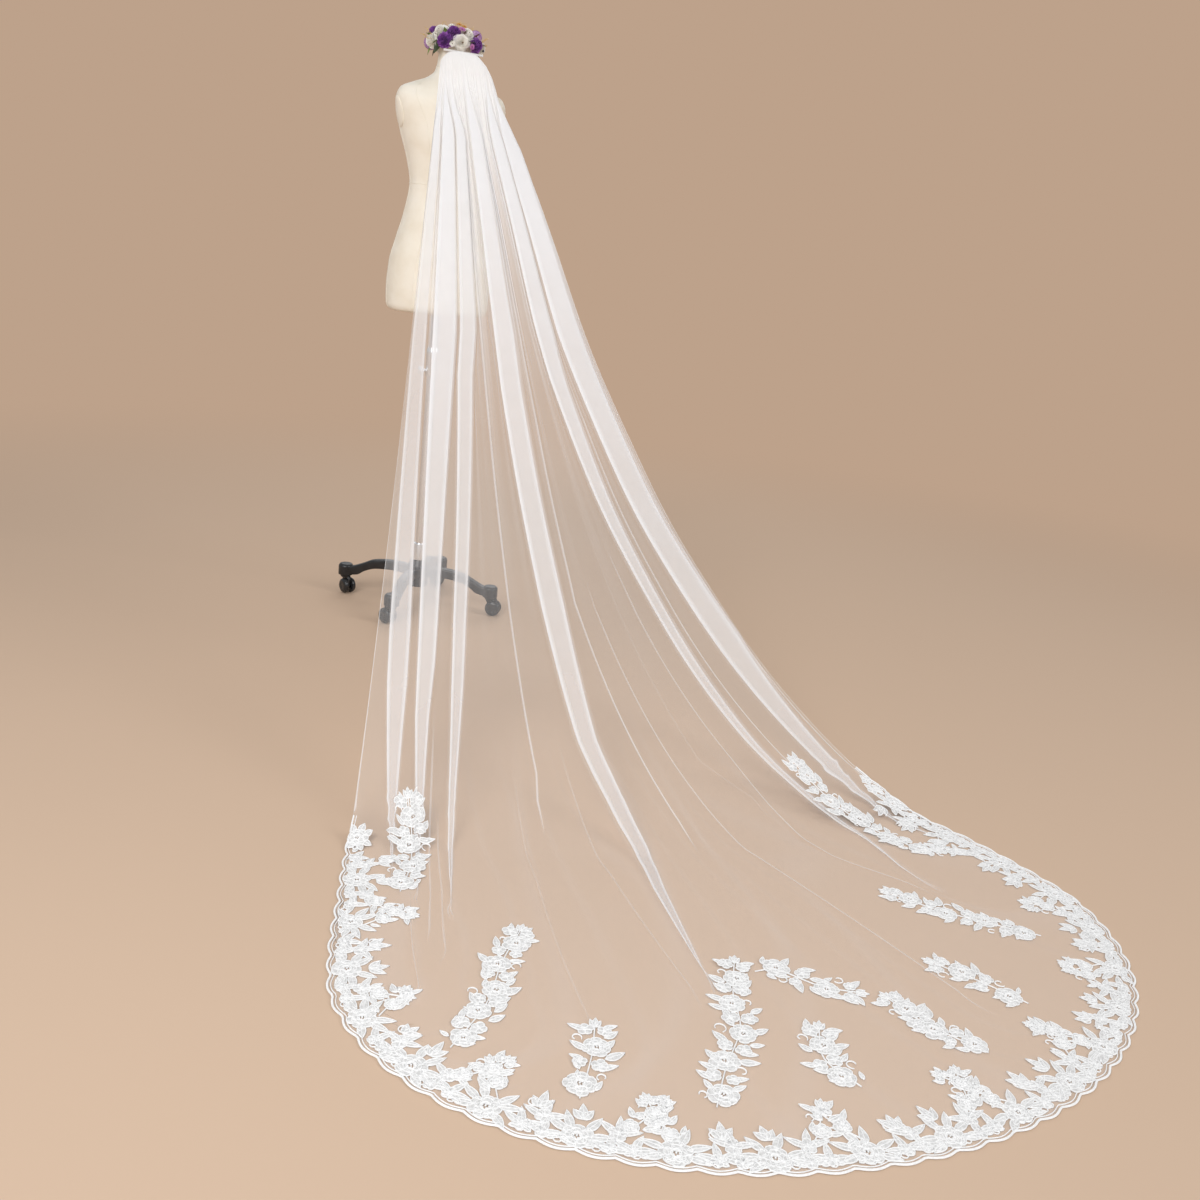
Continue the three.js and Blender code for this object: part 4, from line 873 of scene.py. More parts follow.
def veil_row(level, shares, features):
    """One row of the veil: its points, and how much of the view each covers."""
    count = len(shares)
    across = np.empty(count)
    out, profile, weight = np.zeros(count), np.zeros(count), np.zeros(count)
    grid = row_grid(level)
    states = [feature_at(feature, grid) for feature in features]
    keep_apart(states)
    marks = [(0, -1.0, 0.0)]
    for feature, state in zip(features, states):
        index = np.arange(feature["first"], feature["last"] + 1)
        t = np.linspace(-1, 1, len(index))
        back, amount, half = state["back"], state["amount"], state["half"]
        lifted = 0.0
        if feature["kind"] == "fold":
            outline = np.array(FOLD_OUTLINE)
            folded = (outline[:, 0] * state["overlap"] / 2 + outline[:, 1] * state["gap"]) / half
            out[index] = outline[:, 2] * state["gap"] * amount
            layer = float(np.interp(back, COVER_BACK, COVER_LAYER))
            # The turns get more cover: partly crowded net, partly painted brightening of the net seen
            # edge-on
            profile[index] = lerp(layer, max(COVER_CREASE_AND_PAINTED_SHEEN, layer), outline[:, 3])
            lifted = 2 * state["gap"] * amount
        else:
            outline = np.array(RIDGE_OUTLINE)
            folded = outline[:, 0] * state["folded"]
            lying = lerp(1.0, TRAIN_RIDGE_HEIGHT, float(smooth((back - 1.1) / 0.4)))
            out[index] = outline[:, 1] * feature["tall"] * amount * lying
            single = float(np.interp(back, COVER_BACK, COVER_SINGLE))
            # The crease's crest gets more cover: partly crowded net, partly painted brightening of the net
            # seen edge-on
            profile[index] = lerp(single, max(feature["cover"], single), outline[:, 2])
        across[index] = state["centre"] + lerp(t * state["flat"], folded, amount)
        weight[index] = amount
        marks.append((feature["first"], state["centre"] - state["reach"], None))
        marks.append((feature["last"], state["centre"] + state["reach"], lifted))
    marks.append((count - 1, 1.0, 0.0))
    for before, after in zip(marks[0::2], marks[1::2]):
        index = np.arange(before[0], after[0] + 1)
        inner = index[1:-1] if before[0] > 0 else index[:-1]
        if after[0] == count - 1:
            inner = index[1:]
        low, high = shares[before[0]], shares[after[0]]
        t = (shares[inner] - low) / max(high - low, 1e-9)
        across[inner] = lerp(before[1], after[1], t)
        out[inner] = before[2] * (1 - smooth(t * 1.6))
    across = lerp(across, 2 * shares - 1, smooth((level - HEM_SETTLES) / (2 - HEM_SETTLES)))
    back = -veil_base(across, level)[:, 1]
    single = np.interp(back, COVER_BACK, COVER_SINGLE)
    selvage = np.zeros(count)
    selvage[:2] = selvage[-2:] = 1
    above_hem = smooth((HEM_START_BACK + 0.35 - back) / 0.3)
    single = np.maximum(single, COVER_SELVAGE * selvage * above_hem)
    cover = lerp(single, profile, weight)
    crowding = STREAK_COVER * smooth((back - 0.16) / 0.3) * smooth((1.45 - back) / 0.9)
    cover = cover * (1 + crowding * streaks(shares))
    laid_down = smooth((back - 1.3) / 0.4)
    cover = cover + WRINKLE_COVER * wrinkles(shares, back) * laid_down * (1 - weight)
    pitch = 2 * half_width(np.minimum(back, TRAIN_START)) / GATHERS
    fade = 1 - smooth((back - GATHER_FADE[0]) / (GATHER_FADE[1] - GATHER_FADE[0]))
    rise = smooth((back - VEIL_TOP_BACK) / GATHER_RISE)
    wander = shares * GATHERS + 0.35 * np.sin(shares * 23)
    out += GATHER_SLOPE * pitch * np.sin(TAU * wander) * fade * rise * (1 - weight)
    points = veil_base(across, level) + veil_normals(across, level) * out[:, None]
    return points, np.clip(cover, *COVER_LIMITS)


def veil_rows():
    columns, features = veil_columns()
    shares = np.maximum.accumulate(np.array(columns))
    levels = [i / HANGING_ROWS for i in range(HANGING_ROWS)]
    levels += [1 + i / TRAIN_ROWS for i in range(TRAIN_ROWS + 1)]
    made = [veil_row(level, shares, features) for level in levels]
    return np.array([row[0] for row in made]), np.array([row[1] for row in made])


def make_veil():
    rows, covers = veil_rows()
    count = rows.shape[1]
    flat = rows.reshape(-1, 3)
    flat[:, 2] = np.maximum(flat[:, 2], LOWEST_CLOTH)
    r = np.arange(rows.shape[0] - 1)[:, None] * count
    i = np.arange(count - 1)[None, :]
    a = (r + i).ravel()
    faces = np.stack([a, a + count, a + count + 1, a + 1], axis=-1)
    shape = Shape()
    shape.points = flat
    shape.faces = faces.tolist()
    veil = piece("veil_net", shape, [TULLE], "tulle", replaces=("veil_tulle",))
    cover = veil.data.attributes.new("cover", "FLOAT", "POINT")
    cover.data.foreach_set("value", covers.ravel())
    return veil


veil = make_veil()
VEIL_TREE = BVHTree.FromPolygons(
    [vertex.co for vertex in veil.data.vertices],
    [tuple(polygon.vertices) for polygon in veil.data.polygons],
)


# Lace, drawn flat and then laid on the veil


class Relief:
    """Raised lacework drawn flat: x and y about the stand, and height over the net."""

    def __init__(self):
        self.points = []
        self.faces = []
        self.slots = []

    def face(self, corners, slot):
        self.faces.append(corners)
        self.slots.append(slot)

    def cord(self, path, wide, tall, closed=False, taper=False):
        section = ((-0.5, 0.0), (-0.25, 0.9), (0.25, 0.9), (0.5, 0.0))
        count = len(path)
        start = len(self.points)
        for i, (x, y) in enumerate(path):
            before = path[i - 1] if i > 0 or closed else path[i]
            after = path[(i + 1) % count] if i < count - 1 or closed else path[i]
            dx, dy = after[0] - before[0], after[1] - before[1]
            length = math.hypot(dx, dy) or 1.0
            nx, ny = -dy / length, dx / length
            size = 1.0
            if taper:
                size = 0.35 + 0.65 * math.sin(math.pi * (0.12 + 0.76 * i / (count - 1)))
            for across, up in section:
                side = across * wide * size
                self.points.append((x + nx * side, y + ny * side, up * tall))
        step = len(section)
        for i in range(count if closed else count - 1):
            a = start + i * step
            b = start + ((i + 1) % count) * step
            for k in range(step - 1):
                self.face((a + k, b + k, b + k + 1, a + k + 1), 1)

    def plate(self, outline, tall, dome=0.0):
        """A thin filled patch, raised to a low dome, in slot 0: the filling, coloured darker as painted
        shade between the cords.
        """
        count = len(outline)
        start = len(self.points)
        cx = sum(p[0] for p in outline) / count
        cy = sum(p[1] for p in outline) / count
        self.points += [(x, y, tall) for x, y in outline]
        self.points += [(lerp(x, cx, 0.5), lerp(y, cy, 0.5), tall + dome) for x, y in outline]
        self.points.append((cx, cy, tall + dome * 1.1))
        centre = len(self.points) - 1
        for i in range(count):
            n = (i + 1) % count
            a, b = start + i, start + n
            self.face((a, b, b + count, a + count), 0)
            self.face((a + count, b + count, centre), 0)

    def bead(self, x, y, radius, base=0.0):
        start = len(self.points)
        sides = 6
        for level, size in ((0.2, 1.0), (1.1, 0.8)):
            for k in range(sides):
                turn = TAU * k / sides
                self.points.append((
                    x + radius * size * math.cos(turn), y + radius * size * math.sin(turn),
                    base + radius * level,
                ))
        self.points.append((x, y, base + radius * 1.5))
        for k in range(sides):
            n = (k + 1) % sides
            self.face((start + k, start + n, start + n + sides, start + k + sides), 1)
            self.face((start + sides + k, start + sides + n, start + 2 * sides), 1)


def turned(points, x, y, turn, size=1.0):
    c, s = math.cos(turn) * size, math.sin(turn) * size
    return [(x + c * px - s * py, y + s * px + c * py) for px, py in points]


CORD_WIDE = 0.0020
CORD_TALL = 0.0018
FILL_TALL = 0.0008
LACE_LIFT = 0.0002
ABOVE_LACE = 0.6


def leaf_points(length, wide, bend=0.0, steps=6):
    left, right = [], []
    for i in range(steps + 1):
        t = i / steps
        swell = math.sin(math.pi * t ** 0.8) * wide / 2 * (1.06 - 0.12 * t)
        drift = bend * length * t * t
        left.append((t * length, drift + swell))
        right.append((t * length, drift - swell))
    return left + right[-2:0:-1]


def lace_leaf(relief, x, y, turn, length, wide, bend=0.0):
    outline = turned(leaf_points(length, wide, bend), x, y, turn)
    relief.plate(outline, FILL_TALL, 0.0004)
    relief.cord(outline, CORD_WIDE, CORD_TALL, closed=True)
    vein = [(t * length * 0.86, bend * length * t * t * 0.8) for t in (0.0, 0.35, 0.7, 1.0)]
    relief.cord(turned(vein, x, y, turn), CORD_WIDE * 0.8, CORD_TALL * 1.15, taper=True)


def petal_points(reach, inner, wide, steps=10):
    """A rounded petal along +x, wider toward its rim."""
    centre, long = (reach + inner) / 2, (reach - inner) / 2
    points = []
    for i in range(steps):
        c, s = math.cos(TAU * i / steps), math.sin(TAU * i / steps)
        points.append((centre + long * c, wide / 2 * s * (1 + 0.24 * c)))
    return points


def lace_ring(relief, x, y, radius, count=12, tall=1.4):
    ring = [
        (x + radius * math.cos(TAU * i / count), y + radius * math.sin(TAU * i / count))
        for i in range(count)
    ]
    relief.cord(ring, CORD_WIDE, CORD_TALL * tall, closed=True)


def lace_petals(relief, x, y, turn, count, reach, inner, wide, lift, rng):
    for k in range(count):
        angle = turn + TAU * k / count + rng.uniform(-0.09, 0.09)
        grow = rng.uniform(0.9, 1.08)
        outline = turned(petal_points(reach * grow, inner, wide), x, y, angle)
        relief.plate(outline, FILL_TALL * lift, 0.0005)
        relief.cord(outline, CORD_WIDE, CORD_TALL * lift, closed=True)


def lace_blossom(relief, x, y, turn, radius, rng):
    lace_petals(relief, x, y, turn, 5, radius, radius * 0.12, radius * 0.86, 1.0, rng)
    lace_ring(relief, x, y, radius * 0.24, 8)
    relief.bead(x, y, 0.0014, 0.0010)


def lace_rose(relief, x, y, turn, radius, rng):
    """A full-blown rose: two rounds of petals about a beaded ring."""
    lace_petals(relief, x, y, turn, 7, radius, radius * 0.42, radius * 0.72, 1.0, rng)
    lace_petals(relief, x, y, turn + 0.4, 5, radius * 0.68, radius * 0.20, radius * 0.60, 1.35, rng)
    lace_ring(relief, x, y, radius * 0.33, 12, 1.9)
    for k in range(6):
        angle = turn + TAU * k / 6
        reach = radius * 0.20
        relief.bead(x + reach * math.cos(angle), y + reach * math.sin(angle), 0.0012, 0.0016)
    relief.bead(x, y, 0.0017, 0.0014)


def lace_curl(relief, x, y, turn, size, hand):
    """A loop of cord that turns back on itself."""
    path = []
    steps = 14
    for i in range(steps + 1):
        t = i / steps
        angle = hand * (t * 4.9 - 0.4)
        reach = size * (1 - 0.45 * t)
        path.append((size * 1.3 - reach * math.cos(angle), reach * math.sin(angle)))
    relief.cord(turned(path, x, y, turn), CORD_WIDE * 1.3, CORD_TALL, taper=True)


def lace_bud(relief, x, y, turn, size):
    for offset in (-0.5, 0.0, 0.5):
        reach = size * (1.0 if offset == 0 else 0.82)
        lace_leaf(relief, x, y, turn + offset, reach, size * 0.42)


def spline_path(points, spacing):
    """Evenly spaced points on a smooth curve through a few given ones."""
    given = [np.array(p) for p in points]
    dense = []
    for i in range(len(given) - 1):
        p0 = given[max(i - 1, 0)]
        p1, p2 = given[i], given[i + 1]
        p3 = given[min(i + 2, len(given) - 1)]
        for step in range(12):
            t = step / 12
            curve = 2 * p1 + (p2 - p0) * t + (2 * p0 - 5 * p1 + 4 * p2 - p3) * t * t
            dense.append(0.5 * (curve + (3 * p1 - p0 - 3 * p2 + p3) * t ** 3))
    dense.append(given[-1])
    flat = np.array(dense)
    run = run_lengths(flat)
    wanted = np.linspace(0, run[-1], max(8, int(run[-1] / spacing)))
    made = np.stack([np.interp(wanted, run, flat[:, k]) for k in range(2)], axis=-1)
    return made, run[-1]


def spray(relief, path, rng, rose=0.0255, leaf=0.034, rose_spacing=0.076):
    """Roses, blossoms, leaves and loops along a stem from its tip to its foot."""
    made, length = spline_path(path, 0.008)
    relief.cord([tuple(p) for p in made], CORD_WIDE * 1.2, CORD_TALL)
    count = len(made)

    def at(t, aside=0.0):
        i = min(count - 2, max(0, int(t * (count - 1))))
        along = made[i + 1] - made[i]
        turn = math.atan2(along[1], along[0])
        return made[i][0] - math.sin(turn) * aside, made[i][1] + math.cos(turn) * aside, turn

    def swell(t):
        return 0.50 + 0.50 * math.sin(math.pi * min(1.0, t * 0.72 + 0.16))

    leaves = max(5, round(length / 0.0125))
    for k in range(leaves):
        t = (k + 0.3) / leaves
        hand = 1 if k % 2 == 0 else -1
        x, y, along = at(t, hand * rng.uniform(0.35, 0.95) * rose * swell(t))
        reach = leaf * swell(t) * rng.uniform(0.72, 1.12)
        turn = along + math.pi - hand * rng.uniform(0.35, 1.5)
        if k % 7 == 3:
            lace_curl(relief, x, y, turn, reach * 0.34, hand)
        else:
            lace_leaf(relief, x, y, turn, reach, reach * rng.uniform(0.35, 0.46), hand * 0.12)
    roses = max(1, round(length / rose_spacing))
    for k in range(roses):
        t = (k + 0.62) / roses
        hand = 1 if k % 2 == 0 else -1
        radius = rose * lerp(0.72, 1.0, swell(t)) * rng.uniform(0.92, 1.08)
        x, y, _ = at(t, hand * 0.25 * radius)
        lace_rose(relief, x, y, rng.uniform(0, TAU), radius, rng)
        for other in (-1, 1):
            x, y, _ = at(t - 0.5 / roses, other * rose * 0.62)
            lace_blossom(relief, x, y, rng.uniform(0, TAU), rose * rng.uniform(0.44, 0.60), rng)
    x, y, turn = at(0.0)
    lace_bud(relief, x, y, turn + math.pi, leaf * 0.7)


def laid(relief, name, node):
    """Lays the drawn lace on the veil's uppermost layer."""
    points = np.array(relief.points)
    top = np.empty(len(points))
    for i, (x, y, _) in enumerate(points):
        above = Vector((x + STAND[0], y + STAND[1], ABOVE_LACE))
        place = VEIL_TREE.ray_cast(above, Vector((0, 0, -1)))[0]
        if place is None:
            place = VEIL_TREE.find_nearest(Vector((above.x, above.y, 0.0)))[0]
        top[i] = place.z
    points[:, 2] += top + LACE_LIFT
    shape = Shape()
    shape.points = points
    shape.faces = relief.faces
    shape.slots = relief.slots
    return piece(name, shape, [LACE_FILLING_PAINTED_SHADE, LACE_CORD], "lace", replaces=(node,))


BORDER_FIRST = 0.008
BORDER_LAST = 0.992
BORDER_GROUPS = 44
SCALLOP_POINTS = 9


def hem_frame(share, inward):
    """A place in from the hem, and the direction away from the edge there."""
    place, along = hem_point(np.array(share), np.array(inward))
    return float(place[0]), float(place[1]), math.atan2(along[0], -along[1])


def edge_cord(relief, inward, wide, tall):
    shares = np.linspace(0.004, 0.996, LACE_REPEATS * SCALLOPS_PER_REPEAT * SCALLOP_POINTS)
    places, _ = hem_point(shares, inward - scallop(shares))
    relief.cord([tuple(p) for p in places], wide, tall)


def border_group(relief, share, number, gap, rng):
    """One step of the border: a rose or a pair of blossoms, with leaves toward the train."""
    end_fade = min(1.0, 12 * min(share, 1 - share) + 0.30)
    side = 1 if number % 4 < 2 else -1
    if number % 2 == 0:
        x, y, inner = hem_frame(share, 0.027 * end_fade)
        radius = 0.0245 * (0.7 + 0.3 * end_fade) * rng.uniform(0.92, 1.08)
        turns = ((0.5, 0.034), (-0.5, 0.034), (1.25, 0.036), (-1.25, 0.036), (1.95, 0.030), (-1.95, 0.030))
        for turn, reach in turns:
            angle = inner + turn + rng.uniform(-0.2, 0.2)
            start = radius * 0.7
            lace_leaf(
                relief, x + start * math.cos(angle), y + start * math.sin(angle), angle,
                (start * 0.25 + reach) * end_fade, 0.0135, rng.uniform(-0.15, 0.15),
            )
        lace_rose(relief, x, y, rng.uniform(0, TAU), radius, rng)
    else:
        for offset, inward, size in ((-0.16, 0.021, 0.0125), (0.20, 0.050, 0.0145), (0.30, 0.017, 0.0105)):
            x, y, inner = hem_frame(share + side * offset * gap, inward * end_fade)
            for turn in (-1.2, 0.1, 1.3):
                angle = inner + turn * side + rng.uniform(-0.25, 0.25)
                lace_leaf(relief, x, y, angle, (size + 0.022) * end_fade, 0.0120, rng.uniform(-0.2, 0.2))
            lace_blossom(relief, x, y, rng.uniform(0, TAU), size, rng)
    if not 0.02 < share < 0.98:
        return
    if number % 4 == 0 or number % 4 == 3:
        foot = hem_frame(share + side * gap * 0.10, 0.052)
        bend = hem_frame(share - side * gap * 0.25, 0.082)
        tip = hem_frame(share - side * gap * rng.uniform(0.5, 0.8), rng.uniform(0.108, 0.142))
        stem = [tip[:2], bend[:2], foot[:2]]
        spray(relief, stem, rng, rose=0.0150, leaf=0.029, rose_spacing=0.060)
    else:
        x, y, inner = hem_frame(share, 0.064)
        for turn, reach in ((-0.75, 0.026), (-0.1, 0.034), (0.6, 0.028)):
            lace_leaf(relief, x, y, inner + turn * side, reach * rng.uniform(0.85, 1.15), 0.0135, 0.1)
        if number % 4 == 1:
            lace_curl(relief, x, y, inner + side * 0.9, 0.0105, side)


def make_border():
    rng = random.Random(11)
    relief = Relief()
    edge_cord(relief, 0.0012, 0.0040, 0.0024)
    edge_cord(relief, 0.0072, 0.0016, 0.0015)
    scallops = LACE_REPEATS * SCALLOPS_PER_REPEAT
    for k in range(scallops):
        share = (k + 0.5) / scallops
        if 0.01 < share < 0.99:
            x, y, _ = hem_frame(share, 0.0125)
            lace_ring(relief, x, y, 0.0062, 8, 1.0)
            for hand in (-1, 1):
                x, y, inner = hem_frame(share + hand * 0.3 / scallops, 0.0105)
                lace_leaf(relief, x, y, inner + hand * 1.1, 0.018, 0.0085)
    gap = (BORDER_LAST - BORDER_FIRST) / BORDER_GROUPS
    for number in range(BORDER_GROUPS):
        share = lerp(BORDER_FIRST, BORDER_LAST, (number + 0.5) / BORDER_GROUPS)
        border_group(relief, share, number, gap, rng)
    return relief


lace_pieces = [laid(make_border(), "lace_border_work", "lace_border")]

# Each spray's stem, across and back from the pole, from its tip to its foot
SPRIGS = (
    ("left_climb", ((-0.392, 1.500), (-0.404, 1.595), (-0.432, 1.690), (-0.470, 1.770))),
    ("left_wave", ((-0.288, 1.945), (-0.352, 2.035), (-0.412, 2.140), (-0.500, 2.235))),
    ("left_small", ((-0.258, 2.240), (-0.292, 2.310), (-0.345, 2.395))),
    ("middle_tall", ((0.060, 2.128), (0.012, 2.215), (-0.020, 2.300), (-0.092, 2.385), (-0.150, 2.465))),
    ("middle_fork", ((0.236, 2.258), (0.180, 2.225), (0.130, 2.165), (0.085, 2.160))),
    ("middle_small", ((0.112, 2.335), (0.078, 2.405), (0.100, 2.480))),
    ("right_wave", ((0.285, 2.290), (0.300, 2.350), (0.330, 2.405), (0.366, 2.460))),
    ("right_small", ((0.440, 2.212), (0.492, 2.285), (0.536, 2.362))),
    ("right_long", ((0.508, 1.972), (0.570, 2.050), (0.650, 2.120), (0.725, 2.180))),
    ("right_climb", ((0.548, 1.500), (0.588, 1.612), (0.645, 1.720), (0.705, 1.850))),
)
for number, (name, stem) in enumerate(SPRIGS):
    drawn = Relief()
    spray(drawn, [(x, -back) for x, back in stem], random.Random(31 + number))
    lace_pieces.append(laid(drawn, "lace_spray_" + name, "lace_sprig_" + name))


# Dress form

FORM_RINGS = (
    (0.940, 0.138, 0.092, 0.0), (0.944, 0.148, 0.102, 0.0), (0.960, 0.156, 0.110, 0.0),
    (1.010, 0.158, 0.113, 0.0), (1.080, 0.154, 0.111, 0.0), (1.150, 0.138, 0.101, 0.0),
    (1.230, 0.117, 0.090, 0.002), (1.311, 0.105, 0.082, 0.004), (1.380, 0.118, 0.092, 0.006),
    (1.450, 0.141, 0.106, 0.006), (1.510, 0.158, 0.097, -0.002), (1.548, 0.163, 0.080, -0.008),
    (1.572, 0.153, 0.064, -0.008), (1.590, 0.118, 0.054, -0.006), (1.608, 0.076, 0.048, -0.003),
    (1.630, 0.052, 0.046, 0.0), (1.665, 0.045, 0.045, 0.0), (1.712, 0.045, 0.045, 0.0),
)
FORM_SQUARENESS = 2.25
FORM_COLUMNS = 96
FORM_LEVELS = 150


def form_size(z):
    heights = [ring[0] for ring in FORM_RINGS]
    return [float(monotone(heights, [ring[k] for ring in FORM_RINGS], z)) for k in (1, 2, 3)]


def monotone(xs, ys, x):
    """A smooth curve through a table's points that never swings past them."""
    xs = np.asarray(xs, float)
    ys = np.asarray(ys, float)
    steps = np.diff(ys) / np.diff(xs)
    slopes = np.zeros(len(xs))
    for i in range(1, len(xs) - 1):
        if steps[i - 1] * steps[i] > 0:
            slopes[i] = 2 * steps[i - 1] * steps[i] / (steps[i - 1] + steps[i])
    i = int(np.clip(np.searchsorted(xs, x, side="right") - 1, 0, len(xs) - 2))
    step = xs[i + 1] - xs[i]
    t = (min(max(x, xs[0]), xs[-1]) - xs[i]) / step
    return (
        (2 * t ** 3 - 3 * t * t + 1) * ys[i] + (t ** 3 - 2 * t * t + t) * step * slopes[i]
        + (3 * t * t - 2 * t ** 3) * ys[i + 1] + (t ** 3 - t * t) * step * slopes[i + 1]
    )


def form_point(turn, z, out=0.0):
    wide, deep, forward = form_size(z)
    x, y = superellipse(turn, wide + out, deep + out, 2 / FORM_SQUARENESS)
    return (x, y + forward, z)


def make_form():
    shape = Shape()
    low, high = FORM_RINGS[0][0], FORM_RINGS[-1][0]
    levels = [low + (high - low) * (i / FORM_LEVELS) for i in range(FORM_LEVELS + 1)]
    levels[1:1] = [low + 0.0012, low + 0.0028]
    rows = [level_ring(FORM_COLUMNS, 0.016, low)]
    for z in levels:
        rows.append([form_point(TAU * i / FORM_COLUMNS, z) for i in range(FORM_COLUMNS)])
    rows.append(level_ring(FORM_COLUMNS, 0.002, high))
    shape.grid(rows, closed=True, caps=True)
    return piece("form_body", shape, [LINEN], "linen", replaces=("form_torso",))


# Seams run up the form: the turn at the hem, waist, chest and shoulder
FORM_SEAMS = (
    ("centre_back", (-90, -90, -90, -90), 1.600),
    ("centre_front", (90, 90, 90, 90), 1.600),
    ("back_left", (-128, -122, -124, -140), 1.585),
    ("back_right", (-52, -58, -56, -40), 1.585),
    ("front_left", (128, 122, 118, 140), 1.585),
    ("front_right", (52, 58, 62, 40), 1.585),
    ("side_left", (180, 180, 180, 180), 1.470),
    ("side_right", (0, 0, 0, 0), 1.470),
)
SEAM_HEIGHTS = (0.950, 1.311, 1.480, 1.585)


# Heights of the seams that run around the form
SEAM_RINGS = (1.311, 1.640)


def make_seams():
    shape = Shape()
    for _, turns, top in FORM_SEAMS:
        path = []
        steps = 70
        for i in range(steps + 1):
            z = lerp(0.946, top, i / steps)
            turn = math.radians(float(np.interp(z, SEAM_HEIGHTS, turns)))
            path.append(form_point(turn, z, 0.0001))
        tube(shape, path, 0.0009, 6)
    for z in SEAM_RINGS:
        ring = [form_point(TAU * i / 72, z, 0.0002) for i in range(73)]
        tube(shape, ring, 0.0010, 6)
    return piece("form_seams", shape, [LINEN], "linen")


def form_side(side, y, z, out):
    """A point on the form's flank, given how far forward and how high it is."""
    wide, deep, forward = form_size(z)
    share = min(0.999, abs((y - forward) / (deep + out)))
    x = side * (wide + out) * (1 - share ** FORM_SQUARENESS) ** (1 / FORM_SQUARENESS)
    return (x, y, z)


def make_arm_plate(side, node):
    """An oval of linen that closes an armhole, with a corded rim."""
    low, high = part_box(node)
    centre = ((low[1] + high[1]) / 2 - STAND[1], (low[2] + high[2]) / 2)
    deep, tall = (high[1] - low[1]) / 2, (high[2] - low[2]) / 2
    columns = 56

    def ring(size, out):
        made = []
        for i in range(columns):
            turn = TAU * i / columns
            y = centre[0] + deep * size * math.cos(turn)
            z = centre[1] + tall * size * math.sin(turn)
            made.append(form_side(side, y, z, out))
        return made

    shape = Shape()
    sizes = ((1.0, -0.001), (0.985, 0.0016), (0.93, 0.0022), (0.7, 0.0026), (0.4, 0.0028), (0.02, 0.0028))
    shape.grid([ring(size, out) for size, out in sizes], closed=True, caps=True)
    rim = ring(1.0, 0.0006)
    tube(shape, rim + rim[:1], 0.0013, 8)
    name = "form_armhole_left" if side < 0 else "form_armhole_right"
    return piece(name, shape, [LINEN], "linen", replaces=(node,))


def make_neck_cap():
    low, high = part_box("form_neck_cap")
    radius = (high[0] - low[0]) / 2
    shape = Shape()
    corners = [
        (CORE, low[2]), (radius, low[2]), (radius, high[2] - 0.002), (radius - 0.006, high[2]),
        (CORE, high[2]),
    ]
    profile = rounded_profile(corners, 0.002)
    shape.grid(lathe_rows(profile, 64), closed=True, caps=True)
    return piece("form_neck_lid", shape, [LINEN], "linen", replaces=("form_neck_cap",))


make_form()
make_seams()
make_arm_plate(-1, "form_arm_plate_left")
make_arm_plate(1, "form_arm_plate_right")
make_neck_cap()


# Stand

POLE_RADIUS = 0.015
HUB_BORE = 0.0153
COLLAR_RADIUS = 0.021
KNOB_HEIGHT = 0.762
KNOB_FLUTES = 12
STAR_RADIUS = 0.248
STAR_TURN = math.radians(-32.5)
LEG_TOP = ((0.010, 0.128), (0.090, 0.131), (0.150, 0.124), (0.195, 0.104), (0.228, 0.0915), (0.240, 0.0905))
LEG_UNDER = ((0.010, 0.092), (0.080, 0.100), (0.140, 0.096), (0.180, 0.082), (0.205, 0.066), (0.240, 0.0615))
CASTER_TRAIL = 0.014
CASTER_TURNS = tuple(math.radians(turn) for turn in (150, 40, 110, -60))
WHEEL_RADIUS = 0.025
AXLE_RADIUS = 0.004
AXLE_HALF_LENGTH = 0.0070
HOOD_HALF_WIDTH = 0.0058
HOOD_ROUND = 0.012
LEG_HALF_WIDTH = 0.015
LEG_SQUARENESS = 0.35
# Sections as (radius, height), the knob's and the wheel's as (radius, distance out)
KNOB_CORNERS = (
    (CORE, 0.018), (0.005, 0.018), (0.005, 0.029), (0.012, 0.031), (0.012, 0.043), (CORE, 0.045),
)
HUB_CORNERS = (
    (HUB_BORE, 0.0625), (0.034, 0.0625), (0.034, 0.128), (0.025, 0.152), (HUB_BORE, 0.153),
)
SLEEVE_CORNERS = ((0.0240, 0.150), (0.0235, 0.158), (0.020, 0.205), (HUB_BORE, 0.205))
BOSS_CORNERS = (
    (0.0053, 0.0592), (0.024, 0.0592), (0.024, 0.090), (0.0185, 0.097), (CORE, 0.097),
)
STEM_CORNERS = (
    (CORE, 0.0515), (0.016, 0.0515), (0.016, 0.0587), (0.005, 0.0587), (0.005, 0.086), (CORE, 0.086),
)
WHEEL_CORNERS = (
    (0.004, 0.0068), (0.0242, 0.0068), (0.0250, 0.0130), (0.0228, 0.0178), (0.0170, 0.0212),
    (0.0100, 0.0216), (0.0090, 0.0206), (CORE, 0.0206),
)


def make_pole():
    shape = Shape()
    bottom, top = POLE_LOW[2], POLE_HIGH[2]
    profile = rounded_profile(
        [(CORE, bottom), (POLE_RADIUS, bottom), (POLE_RADIUS, top), (CORE, top)], 0.001
    )
    shape.grid(lathe_rows(profile, 48), closed=True, caps=True)
    return piece("stand_tube", shape, [CHROME], "comb_steel", replaces=("stand_pole",))


def make_collar():
    low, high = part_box("stand_collar")
    shape = Shape()
    radius = COLLAR_RADIUS
    corners = [
        (HUB_BORE, low[2]), (radius, low[2]), (radius, high[2] - 0.014), (radius - 0.003, high[2]),
        (HUB_BORE, high[2]),
    ]
    profile = rounded_profile(corners, 0.0025)
    shape.grid(lathe_rows(profile, 48), closed=True, caps=False)
    rows = []
    for radius, out in rounded_profile(KNOB_CORNERS, 0.002):
        fluted = out > 0.030 and radius > 0.008
        ring = []
        for i in range(48):
            turn = TAU * i / 48
            flute = 1 - (0.06 * (0.5 + 0.5 * math.cos(turn * KNOB_FLUTES)) if fluted else 0)
            across = radius * flute * math.cos(turn)
            ring.append((-out, across, KNOB_HEIGHT + radius * flute * math.sin(turn)))
        rows.append(ring)
    shape.grid(rows, closed=True, caps=True)
    return piece("stand_clamp", shape, [CHROME], "comb_steel", replaces=("stand_collar",))


